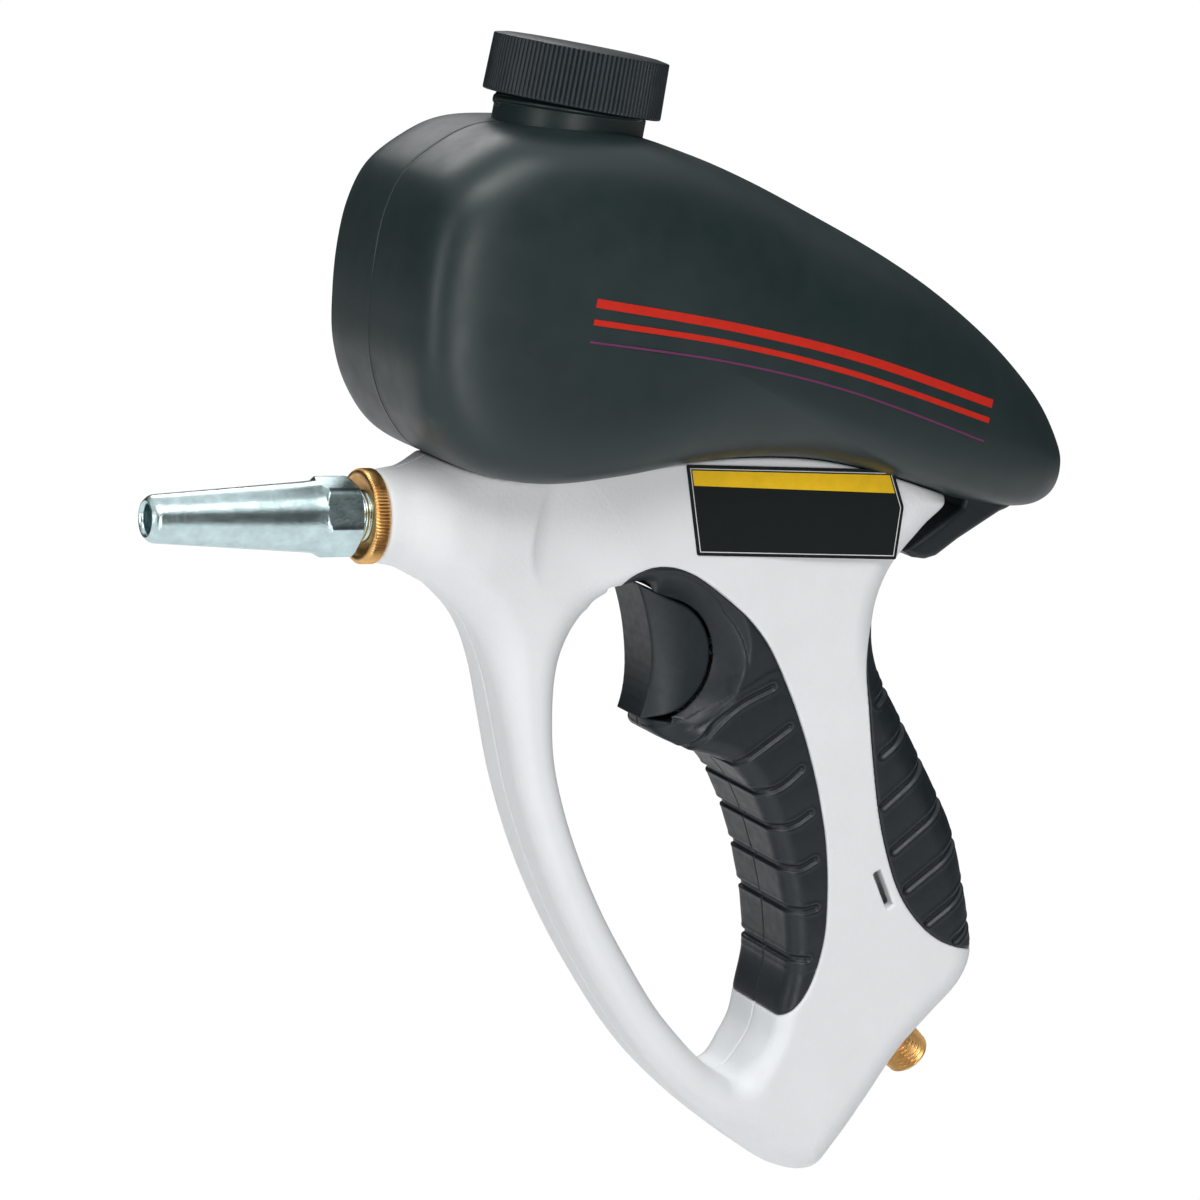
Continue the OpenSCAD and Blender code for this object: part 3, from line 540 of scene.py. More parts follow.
def surround(s, f):
    """Slopes the front grip down to the trigger, with a soft bulging ring round the opening."""
    dx, dz = s.x - TRIGGER_C[0], s.z - TRIGGER_C[1]
    out = np.hypot(dx, dz) - TRIGGER_ARC - SIDE_GAP
    span = ring_reach(np.arctan2(dz, dx)) - TRIGGER_ARC - SIDE_GAP
    u = out / span
    slope = SURROUND_Y + SURROUND_SLOPE * out
    bulge = np.where((u > 0) & (u < 1), 2.1 * np.clip(u, 0, 1) ** 0.8 * np.sqrt(np.clip(1 - u, 0, 1)), 0)
    level = slope + np.where(dx > -4, bulge, bulge * step((dx + 8) / 4))
    cone = (np.abs(s.y) - s.flat(level)) * 0.78
    # below the trigger the chin is rounded back towards its sides
    chin = s.flat(CHIN_X - s.x - 60 * step((s.z + 54.5) / 6)) + 0.038 * s.y ** 2
    return both(both(f, cone, 0.5), 0.7 * chin, 1.5)


def grooves(s, lines, f, depth, half, proud):
    """Moulded channels across a grip, with each segment standing a little proud below its channel."""
    near = [line_distance(open_curve(line, 6), s.x, s.z) for line in lines]
    cut = sum(1 - step((d - half * 0.45) / (half * 0.55)) for d in near)
    lip = sum(np.exp(-((d - half * 1.35) / (half * 0.4)) ** 2) for d in near)
    swell = np.zeros_like(s.x)
    for above, below in zip(near[:-1], near[1:]):
        share = above / np.maximum(above + below, 1e-6)
        swell = np.maximum(swell, np.where(above + below < 22, 4 * share * (1 - share), 0))
    return f + s.flat((cut * depth - lip * proud * 0.6 - swell * proud).astype(np.float32))


def flipped(points, faces):
    """The mirror image across the middle plane."""
    return np.asarray(points) * [1, -1, 1], [face[::-1] for face in faces]


# ---------------------------------------------------------------- materials

def fill_ramp(node, stops):
    """Sets a colour ramp's stops: positions and colours."""
    elements = node.color_ramp.elements
    while len(elements) < len(stops):
        elements.new(0.5)
    for element, (at, color) in zip(elements, stops):
        element.position = at
        element.color = (*color, 1)


class Nodes:
    """A Principled material with short calls for its procedural detail."""

    def __init__(self, name, color, rough, metal=0.0):
        self.material = bpy.data.materials.new(name)
        self.material.use_nodes = True
        self.tree = self.material.node_tree
        self.shader = self.tree.nodes["Principled BSDF"]
        self.shader.inputs["Metallic"].default_value = metal
        self.shader.inputs["Roughness"].default_value = rough
        self.shader.inputs["Base Color"].default_value = (*color, 1)
        self.place = self.tree.nodes.new("ShaderNodeTexCoord").outputs["Object"]
        self.color, self.rough = color, rough
        self.height = None

    def noise(self, scale, detail=3.0, rough=0.55):
        node = self.tree.nodes.new("ShaderNodeTexNoise")
        node.inputs["Scale"].default_value = scale
        node.inputs["Detail"].default_value = detail
        node.inputs["Roughness"].default_value = rough
        self.tree.links.new(self.place, node.inputs["Vector"])
        return node.outputs[0]

    def ramp(self, value, stops, socket):
        node = self.tree.nodes.new("ShaderNodeValToRGB")
        fill_ramp(node, stops)
        self.tree.links.new(value, node.inputs["Fac"])
        self.tree.links.new(node.outputs["Color"], self.shader.inputs[socket])
        return self

    def mottled(self, scale, spread, detail=4.0):
        """Colour that wanders a little round the base colour."""
        dark = tuple(c * (1 - spread) for c in self.color)
        light = tuple(min(1, c * (1 + spread)) for c in self.color)
        return self.ramp(self.noise(scale, detail), [(0.3, dark), (0.7, light)], "Base Color")

    def worn(self, scale, spread, detail=3.0):
        """Roughness that wanders round the base roughness."""
        stops = [(0.3, (self.rough - spread,) * 3), (0.7, (self.rough + spread,) * 3)]
        return self.ramp(self.noise(scale, detail), stops, "Roughness")

    def bump(self, value, distance, strength=1.0):
        node = self.tree.nodes.new("ShaderNodeBump")
        node.inputs["Distance"].default_value = distance * MM
        node.inputs["Strength"].default_value = strength
        self.tree.links.new(value, node.inputs["Height"])
        if self.height:
            self.tree.links.new(self.height, node.inputs["Normal"])
        self.tree.links.new(node.outputs["Normal"], self.shader.inputs["Normal"])
        self.height = node.outputs["Normal"]
        return self


def housing_plastic():
    m = Nodes("housing_plastic", (0.76, 0.78, 0.785), 0.5).mottled(60, 0.015).worn(300, 0.05)
    m.bump(m.noise(1000, 2.0), 0.14, 0.7)
    return m.bump(m.noise(420, 2.0), 0.06, 0.4).material


def grip_rubber():
    m = Nodes("grip_rubber", (0.0055, 0.0105, 0.0135), 0.44).mottled(500, 0.18).worn(400, 0.06)
    return m.bump(m.noise(1900, 2.0), 0.03, 0.6).material


def trigger_plastic():
    m = Nodes("trigger_plastic", (0.0065, 0.0125, 0.0145), 0.46).mottled(500, 0.18).worn(400, 0.05)
    return m.bump(m.noise(2100, 2.0), 0.025, 0.6).material


def hopper_plastic():
    m = Nodes("hopper_plastic", (0.0105, 0.0215, 0.0215), 0.42).mottled(35, 0.06).worn(140, 0.04)
    m.bump(m.noise(1400, 2.0), 0.02, 0.5)
    return m.bump(m.noise(70, 1.0), 0.05, 0.4).material


def cap_plastic():
    m = Nodes("cap_plastic", (0.0055, 0.0115, 0.0155), 0.45).mottled(300, 0.15).worn(300, 0.06)
    return m.bump(m.noise(1700, 2.0), 0.02, 0.5).material


def zinc_steel():
    m = Nodes("zinc_steel", (0.60, 0.76, 0.77), 0.19, 1.0).mottled(260, 0.14, 6.0).worn(700, 0.07, 5.0)
    m.bump(m.noise(1300, 5.0, 0.8), 0.06, 1.0)
    return m.bump(m.noise(3200, 2.0), 0.004, 0.6).material


def brass():
    m = Nodes("brass", (0.78, 0.46, 0.17), 0.34, 1.0).mottled(300, 0.12, 5.0).worn(500, 0.08)
    return m.bump(m.noise(1500, 3.0), 0.006, 0.6).material


def plain(name, color, rough, metal=0.0):
    """A quiet material for the screws and the pieces inside the gun."""
    m = Nodes(name, color, rough, metal).mottled(400, 0.06).worn(400, 0.04)
    return m.bump(m.noise(1200), 0.01, 0.4).material


def ink(name, color):
    """A printed film with little gloss."""
    m = Nodes(name, color, 0.55).mottled(300, 0.05)
    m.shader.inputs["Specular IOR Level"].default_value = 0.15
    return m.material


# ---------------------------------------------------------------- the pieces

def build_housing(material):
    cell = 0.5
    s = Space((60, -4 * cell, -191), (262, 21, 30), cell)
    body = body_field(s)
    body = pockets(s, body)
    front, rear = zone(s, FRONT_GRIP, FRONT_GRIP_CLOSE), zone(s, REAR_GRIP, REAR_GRIP_CLOSE)
    covered = np.minimum(front, rear)
    sunk = both(body, s.deep(-covered), 0.6)
    from_arc = np.hypot(s.x - TRIGGER_C[0], s.z - TRIGGER_C[1]) - TRIGGER_ARC - SIDE_GAP
    cone = (np.abs(s.y) + FRONT_GRIP_T - s.flat(SURROUND_Y + SURROUND_SLOPE * from_arc)) * 0.78
    thick = s.flat(np.where(front < 0, FRONT_GRIP_T, WALL_GRIP))
    core = np.maximum(body + thick, np.where(s.flat(front) < 0, cone, -9))
    f = np.minimum(sunk, core)
    back, _ = outline_distance(trigger_outline(1.6), s.x, s.z)
    f = np.maximum(f, -np.where(s.y < FLANK_Y - WALL_GRIP, s.flat(back), 9))
    tilt_x, tilt_z = math.cos(SLOT_TILT), math.sin(SLOT_TILT)
    run = np.abs((s.x - SLOT_C[0]) * tilt_x + (s.z - SLOT_C[1]) * tilt_z)
    off = np.abs((s.z - SLOT_C[1]) * tilt_x - (s.x - SLOT_C[0]) * tilt_z)
    slot = np.maximum(run - SLOT_L / 2, off - SLOT_W / 2)
    # a hollow behind the slot, so that it reads dark
    hollow = np.maximum(run - SLOT_L / 2 - 3, off - SLOT_W / 2 - 4)
    left = both(f, -np.maximum(s.flat(slot), SLOT_Y - s.y), 0.3)
    left = np.maximum(left, -np.maximum(s.flat(hollow), np.maximum(SLOT_Y - s.y, s.y - HOLLOW_Y)))
    heads = np.min([np.hypot(s.x - x, s.z - z) for x, z in SCREWS], axis=0) - HEAD_R - 0.2
    right = both(f, -np.maximum(s.flat(heads), HEAD_Y - s.y), 0.4)
    for name, half in (("left", left), ("right", right)):
        points, faces = s.mesh(seam(s, half))
        # the flanks are truly flat
        points[:, 1] = np.where(points[:, 1] > FLANK_Y - FLAT_WITHIN, FLANK_Y, points[:, 1])
        if name == "left":
            points, faces = flipped(points, faces)
        make("housing_shell_" + name, points, faces, "gun", material, ["housing_" + name])


def thin_out(ob):
    """Half as many faces, fewest where the surface is plain."""
    modifier = ob.modifiers.new("thin", "DECIMATE")
    modifier.ratio = 0.5
    bpy.context.view_layer.objects.active = ob
    bpy.ops.object.modifier_apply(modifier=modifier.name)


def add_skins(kind, s, shaped, body, area, thick, material):
    """Cuts a shaped grip to its area and thickness, and makes its right and left skins."""
    f = both(shaped, s.deep(area + 0.03), 0.7)
    f = np.maximum(f, -(body + thick))
    points, faces = s.mesh(seam(s, f))
    for side in ("right", "left"):
        if side == "left":
            points, faces = flipped(points, faces)
        thin_out(make(f"{kind}_grip_skin_{side}", points, faces, "gun", material,
                      [f"{kind}_grip_{side}"]))


def build_front_grip(material):
    cell = 0.36
    s = Space((119, -4 * cell, -143), (204, 21, -9), cell)
    body = surround(s, body_field(s))
    shaped = pockets(s, grooves(s, FRONT_GROOVES, body, 0.75, 1.15, 0.25))
    add_skins("front", s, shaped, body, zone(s, FRONT_GRIP, FRONT_GRIP_CLOSE), FRONT_GRIP_T, material)


def build_rear_grip(material):
    cell = 0.4
    s = Space((206, -4 * cell, -127), (261, 21, -27), cell)
    body = body_field(s)
    shaped = grooves(s, REAR_GROOVES, body, 0.75, 1.4, 0.25)
    add_skins("rear", s, shaped, body, zone(s, REAR_GRIP, REAR_GRIP_CLOSE), WALL_GRIP, material)


def rounded_slab(s, flat, half, r):
    """A side outline drawn out to both sides, with its edges rounded."""
    across = s.flat(flat) + r
    up = np.abs(s.y) - half + r
    return np.minimum(np.maximum(across, up), 0) + np.hypot(np.maximum(across, 0), np.maximum(up, 0)) - r


def build_trigger(material):
    cell = 0.28
    s = Space((136, -13, -58), (163, 13, -15), cell)
    top, *arc, low = trigger_outline(0)
    u = np.linspace(0, 1, 15)[:, None]
    face = (1 - u) ** 2 * low + 2 * u * (1 - u) * (2 * TRIGGER_MID - (low + top) / 2) + u * u * top
    flat, _ = outline_distance(np.concatenate([arc, face]), s.x, s.z)
    to_face = line_distance(face, s.x, s.z)
    # the pad narrows softly towards the finger, more so in its lower part
    narrow = 2.4 + 1.8 * step((-34 - s.z) / 22)
    half = TRIGGER_Y - narrow * np.clip(1 - to_face / 10, 0, 1) ** 2
    pad = rounded_slab(s, flat, s.flat(half), 0.55)
    # a web inside the gap round the pad, which no light passes
    web = np.maximum(np.abs(s.y) - s.flat(half - 1.5), s.flat(0.5 - to_face))
    web = np.maximum(s.flat(flat) - SIDE_GAP + 0.06, web)
    points, faces = s.mesh(np.minimum(pad, web).astype(np.float32))
    make("trigger_pad", points, faces, "trigger", material, ["trigger"])


def build_latch(material):
    cell = 0.35
    s = Space((217, -12, -14.5), (257, 12, 12), cell)
    outline = np.array([
        [254.4, 3.3], [237.5, -6.8], [231, -11.4], [227.5, -12.3], [223.5, -11.8], [220, -9.8], [224, -7.4],
        [230.5, -3], [237.5, 2.6], [239.5, 8.4], [250, 9.3]])
    flat, _ = outline_distance(outline, s.x, s.z)
    from_pin = np.hypot(s.x - LATCH_C[0], s.z - LATCH_C[1])
    f = rounded_slab(s, either(flat, from_pin - 4, 1.0), LATCH_Y, 1.6)
    points, faces = s.mesh(np.maximum(f, -s.deep(from_pin - 1.55)).astype(np.float32))
    make("latch_arm", points, faces, "latch", material, ["hopper_latch"])


def build_hopper(material):
    line = closed_curve(HOPPER, 14)
    near = [0, 0.004, 0.008, 0.012, 0.018, 0.03, 0.05, 0.08]
    far = [math.sin(math.radians(t)) ** 0.714 for t in np.linspace(3, 88, 64)]
    levels = near + [v for v in far if v > 0.09]
    q = squareness(line[:, 0], line[:, 1])
    rows = []
    for v in [-v for v in levels[:0:-1]] + levels:
        share = (1 - abs(v) ** q) ** (1 / q)
        p = HOPPER_MID + share[:, None] * (line - HOPPER_MID)
        away = (p - HOPPER_MID) / np.linalg.norm(p - HOPPER_MID, axis=1, keepdims=True)
        y = v * flank(p[:, 0])
        # the parting line is a fine groove between two soft ridges, worn away half way down the nose
        worn = 0.35 + 0.65 * step(np.abs(p[:, 1] - 52) / 24)
        ridge = worn * (0.22 * np.exp(-(np.abs(y) / 0.9) ** 2) - 0.5 * np.exp(-(np.abs(y) / 0.28) ** 2))
        p = p + away * ridge[:, None]
        rows.append(np.stack([p[:, 0], y, p[:, 1]], -1))
    n, m = len(rows), len(line)
    points = np.concatenate(rows)
    ends = [[HOPPER_MID[0], side * float(flank(HOPPER_MID[0])), HOPPER_MID[1]] for side in (-1, 1)]
    points = np.concatenate([points, ends])
    faces = [f[::-1] for f in grid_quads(n, m)]
    faces += [[n * m, i, (i + 1) % m] for i in range(m)]
    faces += [[n * m + 1, (n - 1) * m + (i + 1) % m, (n - 1) * m + i] for i in range(m)]
    make("hopper_shell", points, faces, "gun", material, ["hopper"])
    count = 192
    heights = np.linspace(NECK_FOOT, NECK_TOP - 0.2, 150)

    def thread(z, r, angles):
        """The neck's wall with one turn of thread, which starts with a rounded knob."""
        if r < 17:
            return np.full(len(angles), r)
        turn = ((angles - THREAD_START) % (2 * math.pi)) / (2 * math.pi)
        ridge = sum(np.exp(-((z - THREAD_Z - THREAD_PITCH * (turn + k)) / 0.62) ** 4) for k in range(3))
        away = np.minimum(turn, 1 - turn) * 2 * math.pi * NECK_R
        knob = np.exp(-((z - THREAD_Z) / 1.4) ** 4 - (away / 1.8) ** 4)
        return r + 0.7 * ridge + 1.2 * np.maximum(knob - 0.4 * ridge, 0)

    profile = [(NECK_FOOT, NECK_BORE)] + [(z, NECK_R + 0.6 * step(-z / 0.6)) for z in heights]
    profile += [(NECK_TOP, NECK_R - 0.6), (NECK_TOP, NECK_BORE), (NECK_FOOT, NECK_BORE)]
    points, faces = turned(profile, count, thread)
    make("hopper_neck", at_neck(points), faces, "gun", material)


def build_stripes(red, purple):
    """Two plain red stripes and a thin one along the hopper's left flank."""
    stripes = [("stripe_upper", [(103.8, 62.3), (145, 56.3), (187, 47.6), (235.7, 33.6)], 1.15, red),
               ("stripe_middle", [(103.4, 57.4), (145, 51.9), (186, 43.2), (234.5, 29.2)], 0.75, red),
               ("stripe_lower", [(102.7, 52.3), (144, 47.2), (185, 38.5), (233, 23.6)], 0.28, purple)]
    for name, route, half, material in stripes:
        line = open_curve(route, 30)
        along = np.gradient(line, axis=0)
        side = np.stack([-along[:, 1], along[:, 0]], -1) / np.linalg.norm(along, axis=1, keepdims=True)
        rows = []
        for u in np.linspace(-1, 1, 5):
            p = line + side * half * u
            rows.append(np.stack([p[:, 0], -hopper_y(p[:, 0], p[:, 1]) - 0.06, p[:, 1]], -1))
        points = np.concatenate(rows)
        faces = grid_quads(len(rows), len(line), closed=False)
        make(name, points, faces, "gun", material)


def build_cap(material):
    ribs = 112
    count = ribs * 8
    profile = eased([(0.5, NECK_R + 0.95), (0.0, NECK_R + 1.3), (0.0, CAP_R - 0.1), (CAP_H - 0.2, CAP_R - 0.5),
                     (CAP_H, CAP_R - 1.1), (CAP_H + 0.55, CAP_R - 4), (CAP_H + 0.8, CAP_R - 9),
                     (CAP_H + 0.85, 0.01)], 0.7)

    def ribbed(z, r, angles):
        wave = np.abs(np.sin(angles * ribs / 2)) ** 0.7
        on = 1.0 if 0.35 < z < CAP_H - 0.25 and r > CAP_R - 1.3 else 0.0
        return r - on * 0.42 * (1 - wave)

    middle = [(z, CAP_R - 0.1 - 0.4 * z / CAP_H) for z in (0.7, 1.2, 4, 8, 12, CAP_H - 1.0, CAP_H - 0.5)]
    lower = [p for p in profile if p[0] <= 0.6 and p[1] <= CAP_R]
    upper = [p for p in profile if p[0] > CAP_H - 0.45]
    inner = [(11.6, 0.01), (11.6, NECK_R + 0.9), (10.5, NECK_R + 0.95)]
    points, faces = turned(inner + lower + middle + upper, count, ribbed)
    make("cap_shell", at_neck(points), faces, "cap", material, ["hopper_cap"], sharp=50)


def hexagon(half, fillet, angles):
    """Distance to a hexagon's side by direction, for a size half across its flats."""
    turn = (angles + math.pi / 6) % (math.pi / 3) - math.pi / 6
    return half / np.cos(turn) - fillet * (np.abs(turn) / (math.pi / 6)) ** 12


def build_nozzle(material):
    tip, root, bore = 6.2, 9.3, 3.8
    mouth = eased([(14, bore - 0.6), (13.9, bore), (0.7, bore), (0.0, bore + 0.7), (0.0, tip - 1.3), (1.5, tip),
                   (HEX_X - 2.6, root - 0.1), (HEX_X - 0.6, root + 0.15), (HEX_X + 0.4, root + 0.3)], 1.4, 7)
    points, faces = turned(mouth, 128)
    make("nozzle_cone", along_x(points), faces, "gun", material, ["nozzle"])

    def sides(x, r, angles):
        """Six flats between two chamfered ends."""
        if r <= 9:
            return np.full(len(angles), r)
        low = root + 0.2 + (x - HEX_X) * 1.1
        high = root + 0.8 + (HEX_X + HEX_L - x) * 1.7
        return np.minimum(np.minimum(hexagon(HEX_HALF, 0.35, angles - math.radians(39.3)), low), high)

    steps = [HEX_X + v for v in np.linspace(0, HEX_L, 61)]
    profile = [(HEX_X, 7.0)] + [(x, 10.0) for x in steps] + [(HEX_X + HEX_L, 7.0)]
    points, faces = turned(profile, 360, sides)
    make("nozzle_hexagon", along_x(points), faces, "gun", material, sharp=32)

    def thread(x, r, angles):
        wave = (x / 1.4 + angles / (2 * math.pi)) % 1.0
        return r - 0.55 * np.abs(wave - 0.5) * 2

    points, faces = turned([(x, STEM_R) for x in np.arange(HEX_X + HEX_L - 0.2, 80, 0.2)], 64, thread)
    make("nozzle_thread", along_x(points), faces, "gun", material)


def build_ring(material):
    teeth = 84
    count = teeth * 6
    x0, x1 = RING_X, RING_X + RING_T
    bore = STEM_R + 0.05
    profile = [(x1, bore), (x0 + 1.5, bore), (x0 + 1.5, 8.4), (x0 + 1.25, 9.4), (x0 + 0.25, 10.3), (x0, 10.6),
               (x0, RING_R - 0.9), (x0 + 0.15, RING_R - 0.5), (x0 + 0.55, RING_R - 0.1),
               (x0 + 0.75, RING_R), (x1 - 0.5, RING_R), (x1 - 0.2, RING_R - 0.25), (x1, RING_R - 0.7),
               (x1, bore)]

    def knurl(x, r, angles):
        wave = np.abs(((angles * teeth / (2 * math.pi)) % 1.0) - 0.5) * 2
        on = 1.0 if r > RING_R - 0.3 else 0.0
        return r - on * 0.42 * wave ** 1.2

    points, faces = turned(profile, count, knurl)
    make("ring_knurled", along_x(points), [f[::-1] for f in faces], "lock_ring", material,
         ["lock_ring"], sharp=40)


def build_inlet(material):
    def sides(z, r, angles):
        """A chamfered hexagon, then a thread, on a stub that is round elsewhere."""
        if r == 9:
            chamfer = 9.05 + min(z, 6 - z) * 1.6
            return np.minimum(hexagon(8.5, 0.3, angles), chamfer)
        if 7.6 < z < 17.0 and r > 6:
            wave = (z / 1.41 + angles / (2 * math.pi)) % 1.0
            return r - 0.75 * np.abs(wave - 0.5) * 2
        return np.full(len(angles), r)

    profile = [(-10, 2.4), (-10, 3.1), (0, 3.1), (0, 9)] + [(z, 9) for z in np.linspace(0.1, 5.9, 9)]
    profile += [(6, 9), (6, 7.3), (7.5, 7.3), (7.6, INLET_R)]
    profile += [(z, INLET_R) for z in np.arange(7.7, 16.9, 0.14)]
    profile += [(17.1, INLET_R - 0.3), (17.7, INLET_R - 0.8), (17.7, 4.5), (17.4, 4.2), (11.1, 4.2),
                (11.1, 2.4), (-10, 2.4)]
    points, faces = turned(profile, 96, sides)
    make("inlet_stub", at_inlet(points), [f[::-1] for f in faces], "gun", material,
         ["inlet_fitting"], sharp=35)


def plate(outline, y0, y1):
    """A flat plate in the side view from y0 to y1."""
    n = len(outline)
    points = [(x, y, z) for y in (y0, y1) for x, z in outline]
    faces = [list(range(n)), list(range(2 * n - 1, n - 1, -1))]
    faces += [[(i + 1) % n, i, i + n, (i + 1) % n + n] for i in range(n)]
    return points, faces


def rounded_outline(corners, r, steps=6):
    """A closed outline with its corners rounded."""
    corners = np.asarray(corners, float)
    out = []
    for i in range(len(corners)):
        a, b, c = corners[i - 1], corners[i], corners[(i + 1) % len(corners)]
        ta, tc = (a - b) / np.linalg.norm(a - b), (c - b) / np.linalg.norm(c - b)
        for u in np.linspace(0, 1, steps):
            out.append((1 - u) ** 2 * (b + ta * r) + 2 * u * (1 - u) * b + u * u * (b + tc * r))
    return np.array(out)


def inset(corners, d):
    """A convex outline's corners moved in by d."""
    corners = np.asarray(corners, float)
    n = len(corners)
    mid = corners.mean(0)
    lines = []
    for i in range(n):
        a, b = corners[i], corners[(i + 1) % n]
        t = (b - a) / np.linalg.norm(b - a)
        normal = np.array([-t[1], t[0]])
        if normal @ (mid - a) < 0:
            normal = -normal
        lines.append((a + normal * d, t))
    out = []
    for i in range(n):
        (p, t), (q, s) = lines[i - 1], lines[i]
        k = np.linalg.solve(np.stack([t, -s], 1), q - p)
        out.append(p + t * k[0])
    return np.array(out)


def build_label(black, white, yellow):
    """The side panel: black film with a fine pale border and a yellow band, and no lettering."""
    corners = np.array([[144.2, 16.7], [208.2, 14.9], [212.7, 4.6], [211.8, -10], [149.9, -7.9]])
    y = -FLANK_Y
    points, faces = plate(rounded_outline(corners, 0.6), y - 0.28, y - 0.02)
    make("label_panel", points, faces, "gun", black, ["side_label"], sharp=30)
    n = len(corners)
    points = [(x, y - 0.33, z) for depth in (0.9, 1.12) for x, z in inset(corners, depth)]
    faces = [[i, (i + 1) % n, (i + 1) % n + n, i + n] for i in range(n)]
    make("label_border", points, faces, "gun", white)
    top_a, top_b, right, _, left = inset(corners, 1.5)
    share = 4.1 / (top_a[1] - left[1])
    low_a = top_a + (left - top_a) * share
    low_b = top_b + (right - top_b) * 0.55
    points, faces = plate([top_a, top_b, low_b, low_a], y - 0.33, y - 0.26)
    make("label_band", points, faces, "gun", yellow, sharp=30)


def build_screws(material):
    """Countersunk socket heads in the right half."""
    profile = [(-9, 0.01), (-9, 1.5), (8.5, 1.5), (8.5, 3.0), (11.1, 3.0), (11.4, 2.7), (11.4, 1.35),
               (9.9, 1.3), (9.9, 0.01)]

    def socket(h, r, angles):
        return hexagon(r * 0.9, 0, angles) if 1.2 < r < 1.4 else np.full(len(angles), r)

    shape, faces = turned(profile, 48, socket)
    faces = [f[::-1] for f in faces]
    for k, (x, z) in enumerate(SCREWS):
        points = np.stack([shape[:, 0] + x, shape[:, 2], shape[:, 1] + z], -1)
        make(f"screw_{k + 1}", points, faces, "gun", material,
             ["housing_screws"] if k == 0 else [], sharp=35)


def dress_inside(materials):
    """Materials for the CAD nodes that stay."""
    kept = {"valve_stem": "zinc", "stem_seal": "rubber", "valve_spring": "spring", "valve_body": "brass",
            "valve_plug": "brass", "inlet_hose": "hose", "hose_ferrules": "zinc", "supply_tube": "nylon",
            "tube_clips": "zinc", "air_jet": "brass", "jet_seal": "rubber", "mixing_body": "cast",
            "nozzle_washer": "rubber", "outlet_gasket": "rubber", "cap_liner": "foam", "latch_pin": "zinc"}
    for node, key in kept.items():
        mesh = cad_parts[node].data
        mesh.materials.clear()
        mesh.materials.append(materials[key])


# ---------------------------------------------------------------- camera, floor and light

def add_camera():
    """The camera where the picture was taken from."""
    turn, rise, roll = math.radians(-28.09), math.radians(11.55), math.radians(4.75)
    back = Vector((math.sin(turn) * math.cos(rise), -math.cos(turn) * math.cos(rise), math.sin(rise)))
    right = Vector((math.cos(turn), math.sin(turn), 0))
    up = back.cross(right)
    r2 = right * math.cos(roll) + up * math.sin(roll)
    u2 = up * math.cos(roll) - right * math.sin(roll)
    data = bpy.data.cameras.new("camera")
    data.lens, data.sensor_width = 4299.45 / 1200 * 36, 36
    data.clip_start, data.clip_end = 0.05, 60
    ob = bpy.data.objects.new("camera", data)
    target = Vector((132.04, 0, -23.84)) * MM
    place = target + back * 1154.09 * MM
    ob.matrix_world = Matrix(((r2.x, u2.x, back.x, place.x), (r2.y, u2.y, back.y, place.y),
                              (r2.z, u2.z, back.z, place.z), (0, 0, 0, 1)))
    bpy.context.scene.collection.objects.link(ob)
    bpy.context.scene.camera = ob


def add_light(name, place, target, size, watts):
    data = bpy.data.lights.new(name, "AREA")
    data.shape, data.size, data.size_y, data.energy = "RECTANGLE", size[0], size[1], watts
    ob = bpy.data.objects.new(name, data)
    ob.location = place
    ob.rotation_euler = (Vector(target) - Vector(place)).to_track_quat("-Z", "Y").to_euler()
    bpy.context.scene.collection.objects.link(ob)


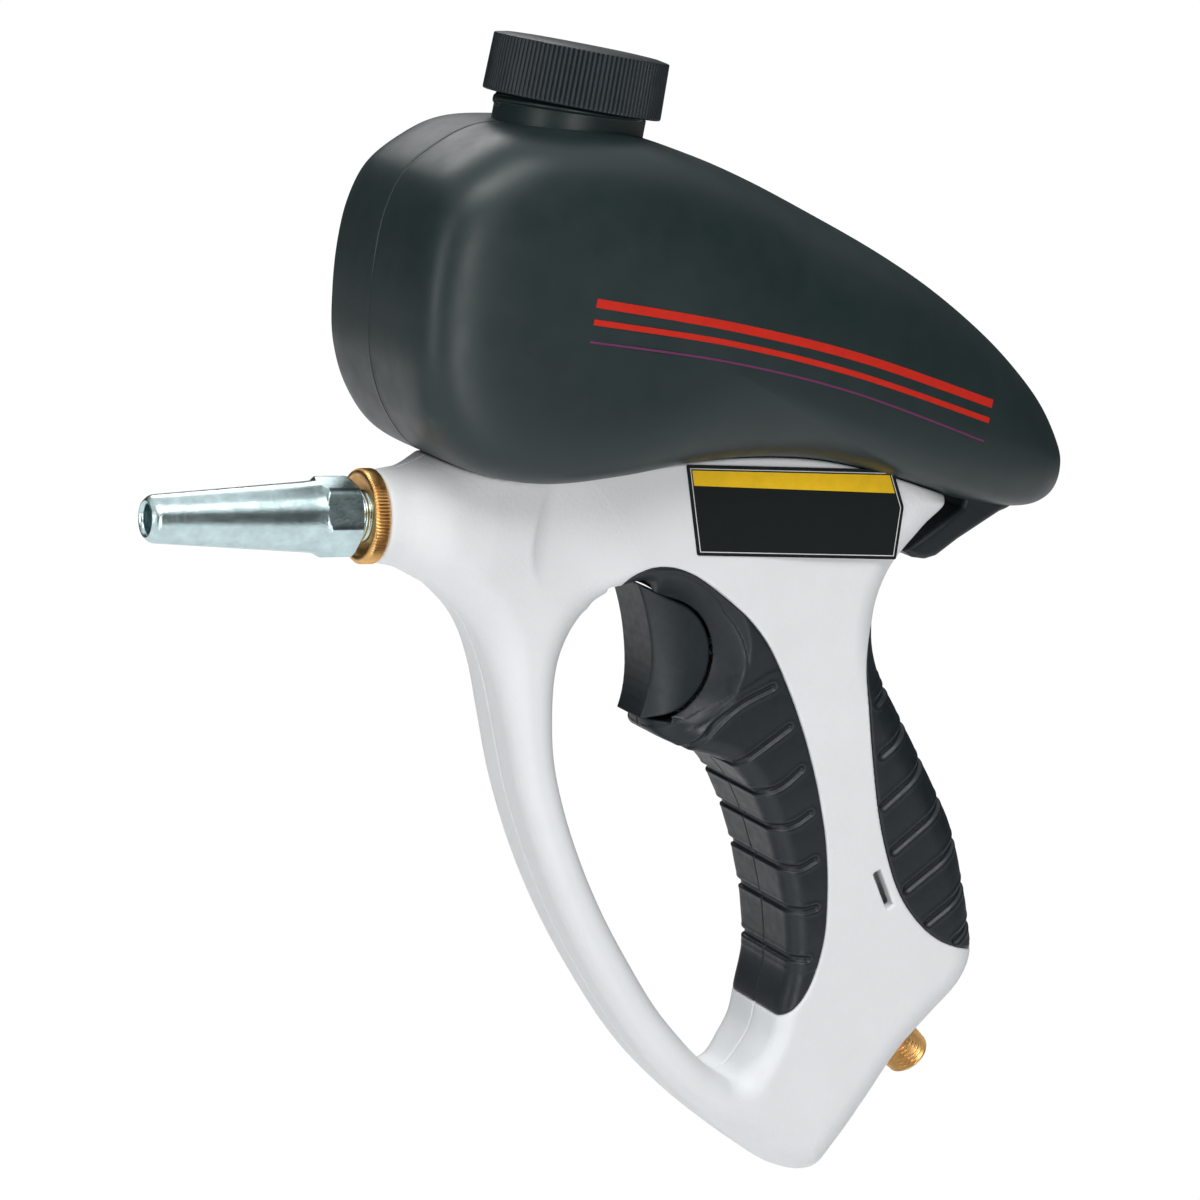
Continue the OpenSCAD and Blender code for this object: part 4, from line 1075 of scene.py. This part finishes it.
def add_stage():
    """White surroundings for the camera; the object mirrors pale ones below and above, and dark ones ahead."""
    scene = bpy.context.scene
    scene.view_settings.view_transform = "Standard"
    world = bpy.data.worlds.new("studio")
    world.use_nodes = True
    tree = world.node_tree
    seen = tree.nodes["Background"]
    seen.inputs["Color"].default_value = (1, 1, 1, 1)
    seen.inputs["Strength"].default_value = 1.02
    lit = tree.nodes.new("ShaderNodeBackground")
    split = tree.nodes.new("ShaderNodeSeparateXYZ")
    rise = tree.nodes.new("ShaderNodeMapRange")
    rise.inputs["From Min"].default_value = -1
    ramp = tree.nodes.new("ShaderNodeValToRGB")
    levels = [(0.0, 0.85), (0.36, 0.85), (0.42, 0.05), (0.74, 0.05), (0.84, 0.8), (1.0, 0.85)]
    fill_ramp(ramp, [(at, (level, level, level * 1.02)) for at, level in levels])
    mix = tree.nodes.new("ShaderNodeMixShader")
    path = tree.nodes.new("ShaderNodeLightPath")
    link = tree.links.new
    link(tree.nodes.new("ShaderNodeTexCoord").outputs["Generated"], split.inputs[0])
    link(split.outputs["Z"], rise.inputs["Value"])
    link(rise.outputs["Result"], ramp.inputs["Fac"])
    link(ramp.outputs["Color"], lit.inputs["Color"])
    link(path.outputs["Is Camera Ray"], mix.inputs["Fac"])
    link(lit.outputs[0], mix.inputs[1])
    link(seen.outputs[0], mix.inputs[2])
    link(mix.outputs[0], tree.nodes["World Output"].inputs["Surface"])
    scene.world = world
    count, reach = 96, 0.5
    turns = [k * 2 * math.pi / count for k in range(count)]
    ring = [(0.14 + reach * math.cos(a), reach * math.sin(a), -0.42) for a in turns]
    mesh = bpy.data.meshes.new("floor")
    mesh.from_pydata(ring, [], [tuple(range(count))])
    mesh.materials.append(Nodes("floor_paper", (0.85, 0.85, 0.86), 0.8).mottled(3, 0.004).material)
    floor = bpy.data.objects.new("floor", mesh)
    scene.collection.objects.link(floor)
    middle = (0.14, 0, -0.02)
    add_light("key", (-0.3, -0.85, 1.3), middle, (1.0, 0.8), 14)
    add_light("side", (-1.25, -0.45, 0.1), middle, (0.22, 0.9), 3.6)
    add_light("fill", (-0.35, -1.5, -0.1), middle, (0.3, 1.2), 7)
    add_light("back", (0.3, 1.2, 0.9), middle, (0.9, 0.5), 5)


add_camera()
add_stage()
housing, grip, hopper = housing_plastic(), grip_rubber(), hopper_plastic()
zinc, brass_mat, trigger = zinc_steel(), brass(), trigger_plastic()
build_housing(housing)
build_front_grip(grip)
build_rear_grip(grip)
build_trigger(trigger)
build_latch(trigger)
build_hopper(hopper)
build_stripes(ink("stripe_red", (0.50, 0.02, 0.01)), ink("stripe_purple", (0.13, 0.03, 0.09)))
build_cap(cap_plastic())
build_nozzle(zinc)
build_ring(brass_mat)
build_inlet(brass_mat)
build_label(ink("label_black", (0.008, 0.011, 0.011)), ink("label_white", (0.72, 0.74, 0.72)),
            ink("label_yellow", (0.88, 0.54, 0.015)))
build_screws(plain("screw_steel", (0.05, 0.05, 0.052), 0.4, 1.0))
dress_inside({
    "zinc": zinc,
    "brass": brass_mat,
    "rubber": plain("seal_rubber", (0.02, 0.02, 0.02), 0.6),
    "spring": plain("spring_steel", (0.6, 0.6, 0.6), 0.25, 1.0),
    "hose": plain("hose_rubber", (0.03, 0.03, 0.032), 0.6),
    "nylon": plain("tube_nylon", (0.7, 0.69, 0.62), 0.4),
    "cast": plain("cast_aluminium", (0.6, 0.61, 0.62), 0.45, 1.0),
    "foam": plain("liner_foam", (0.6, 0.6, 0.57), 0.8)})
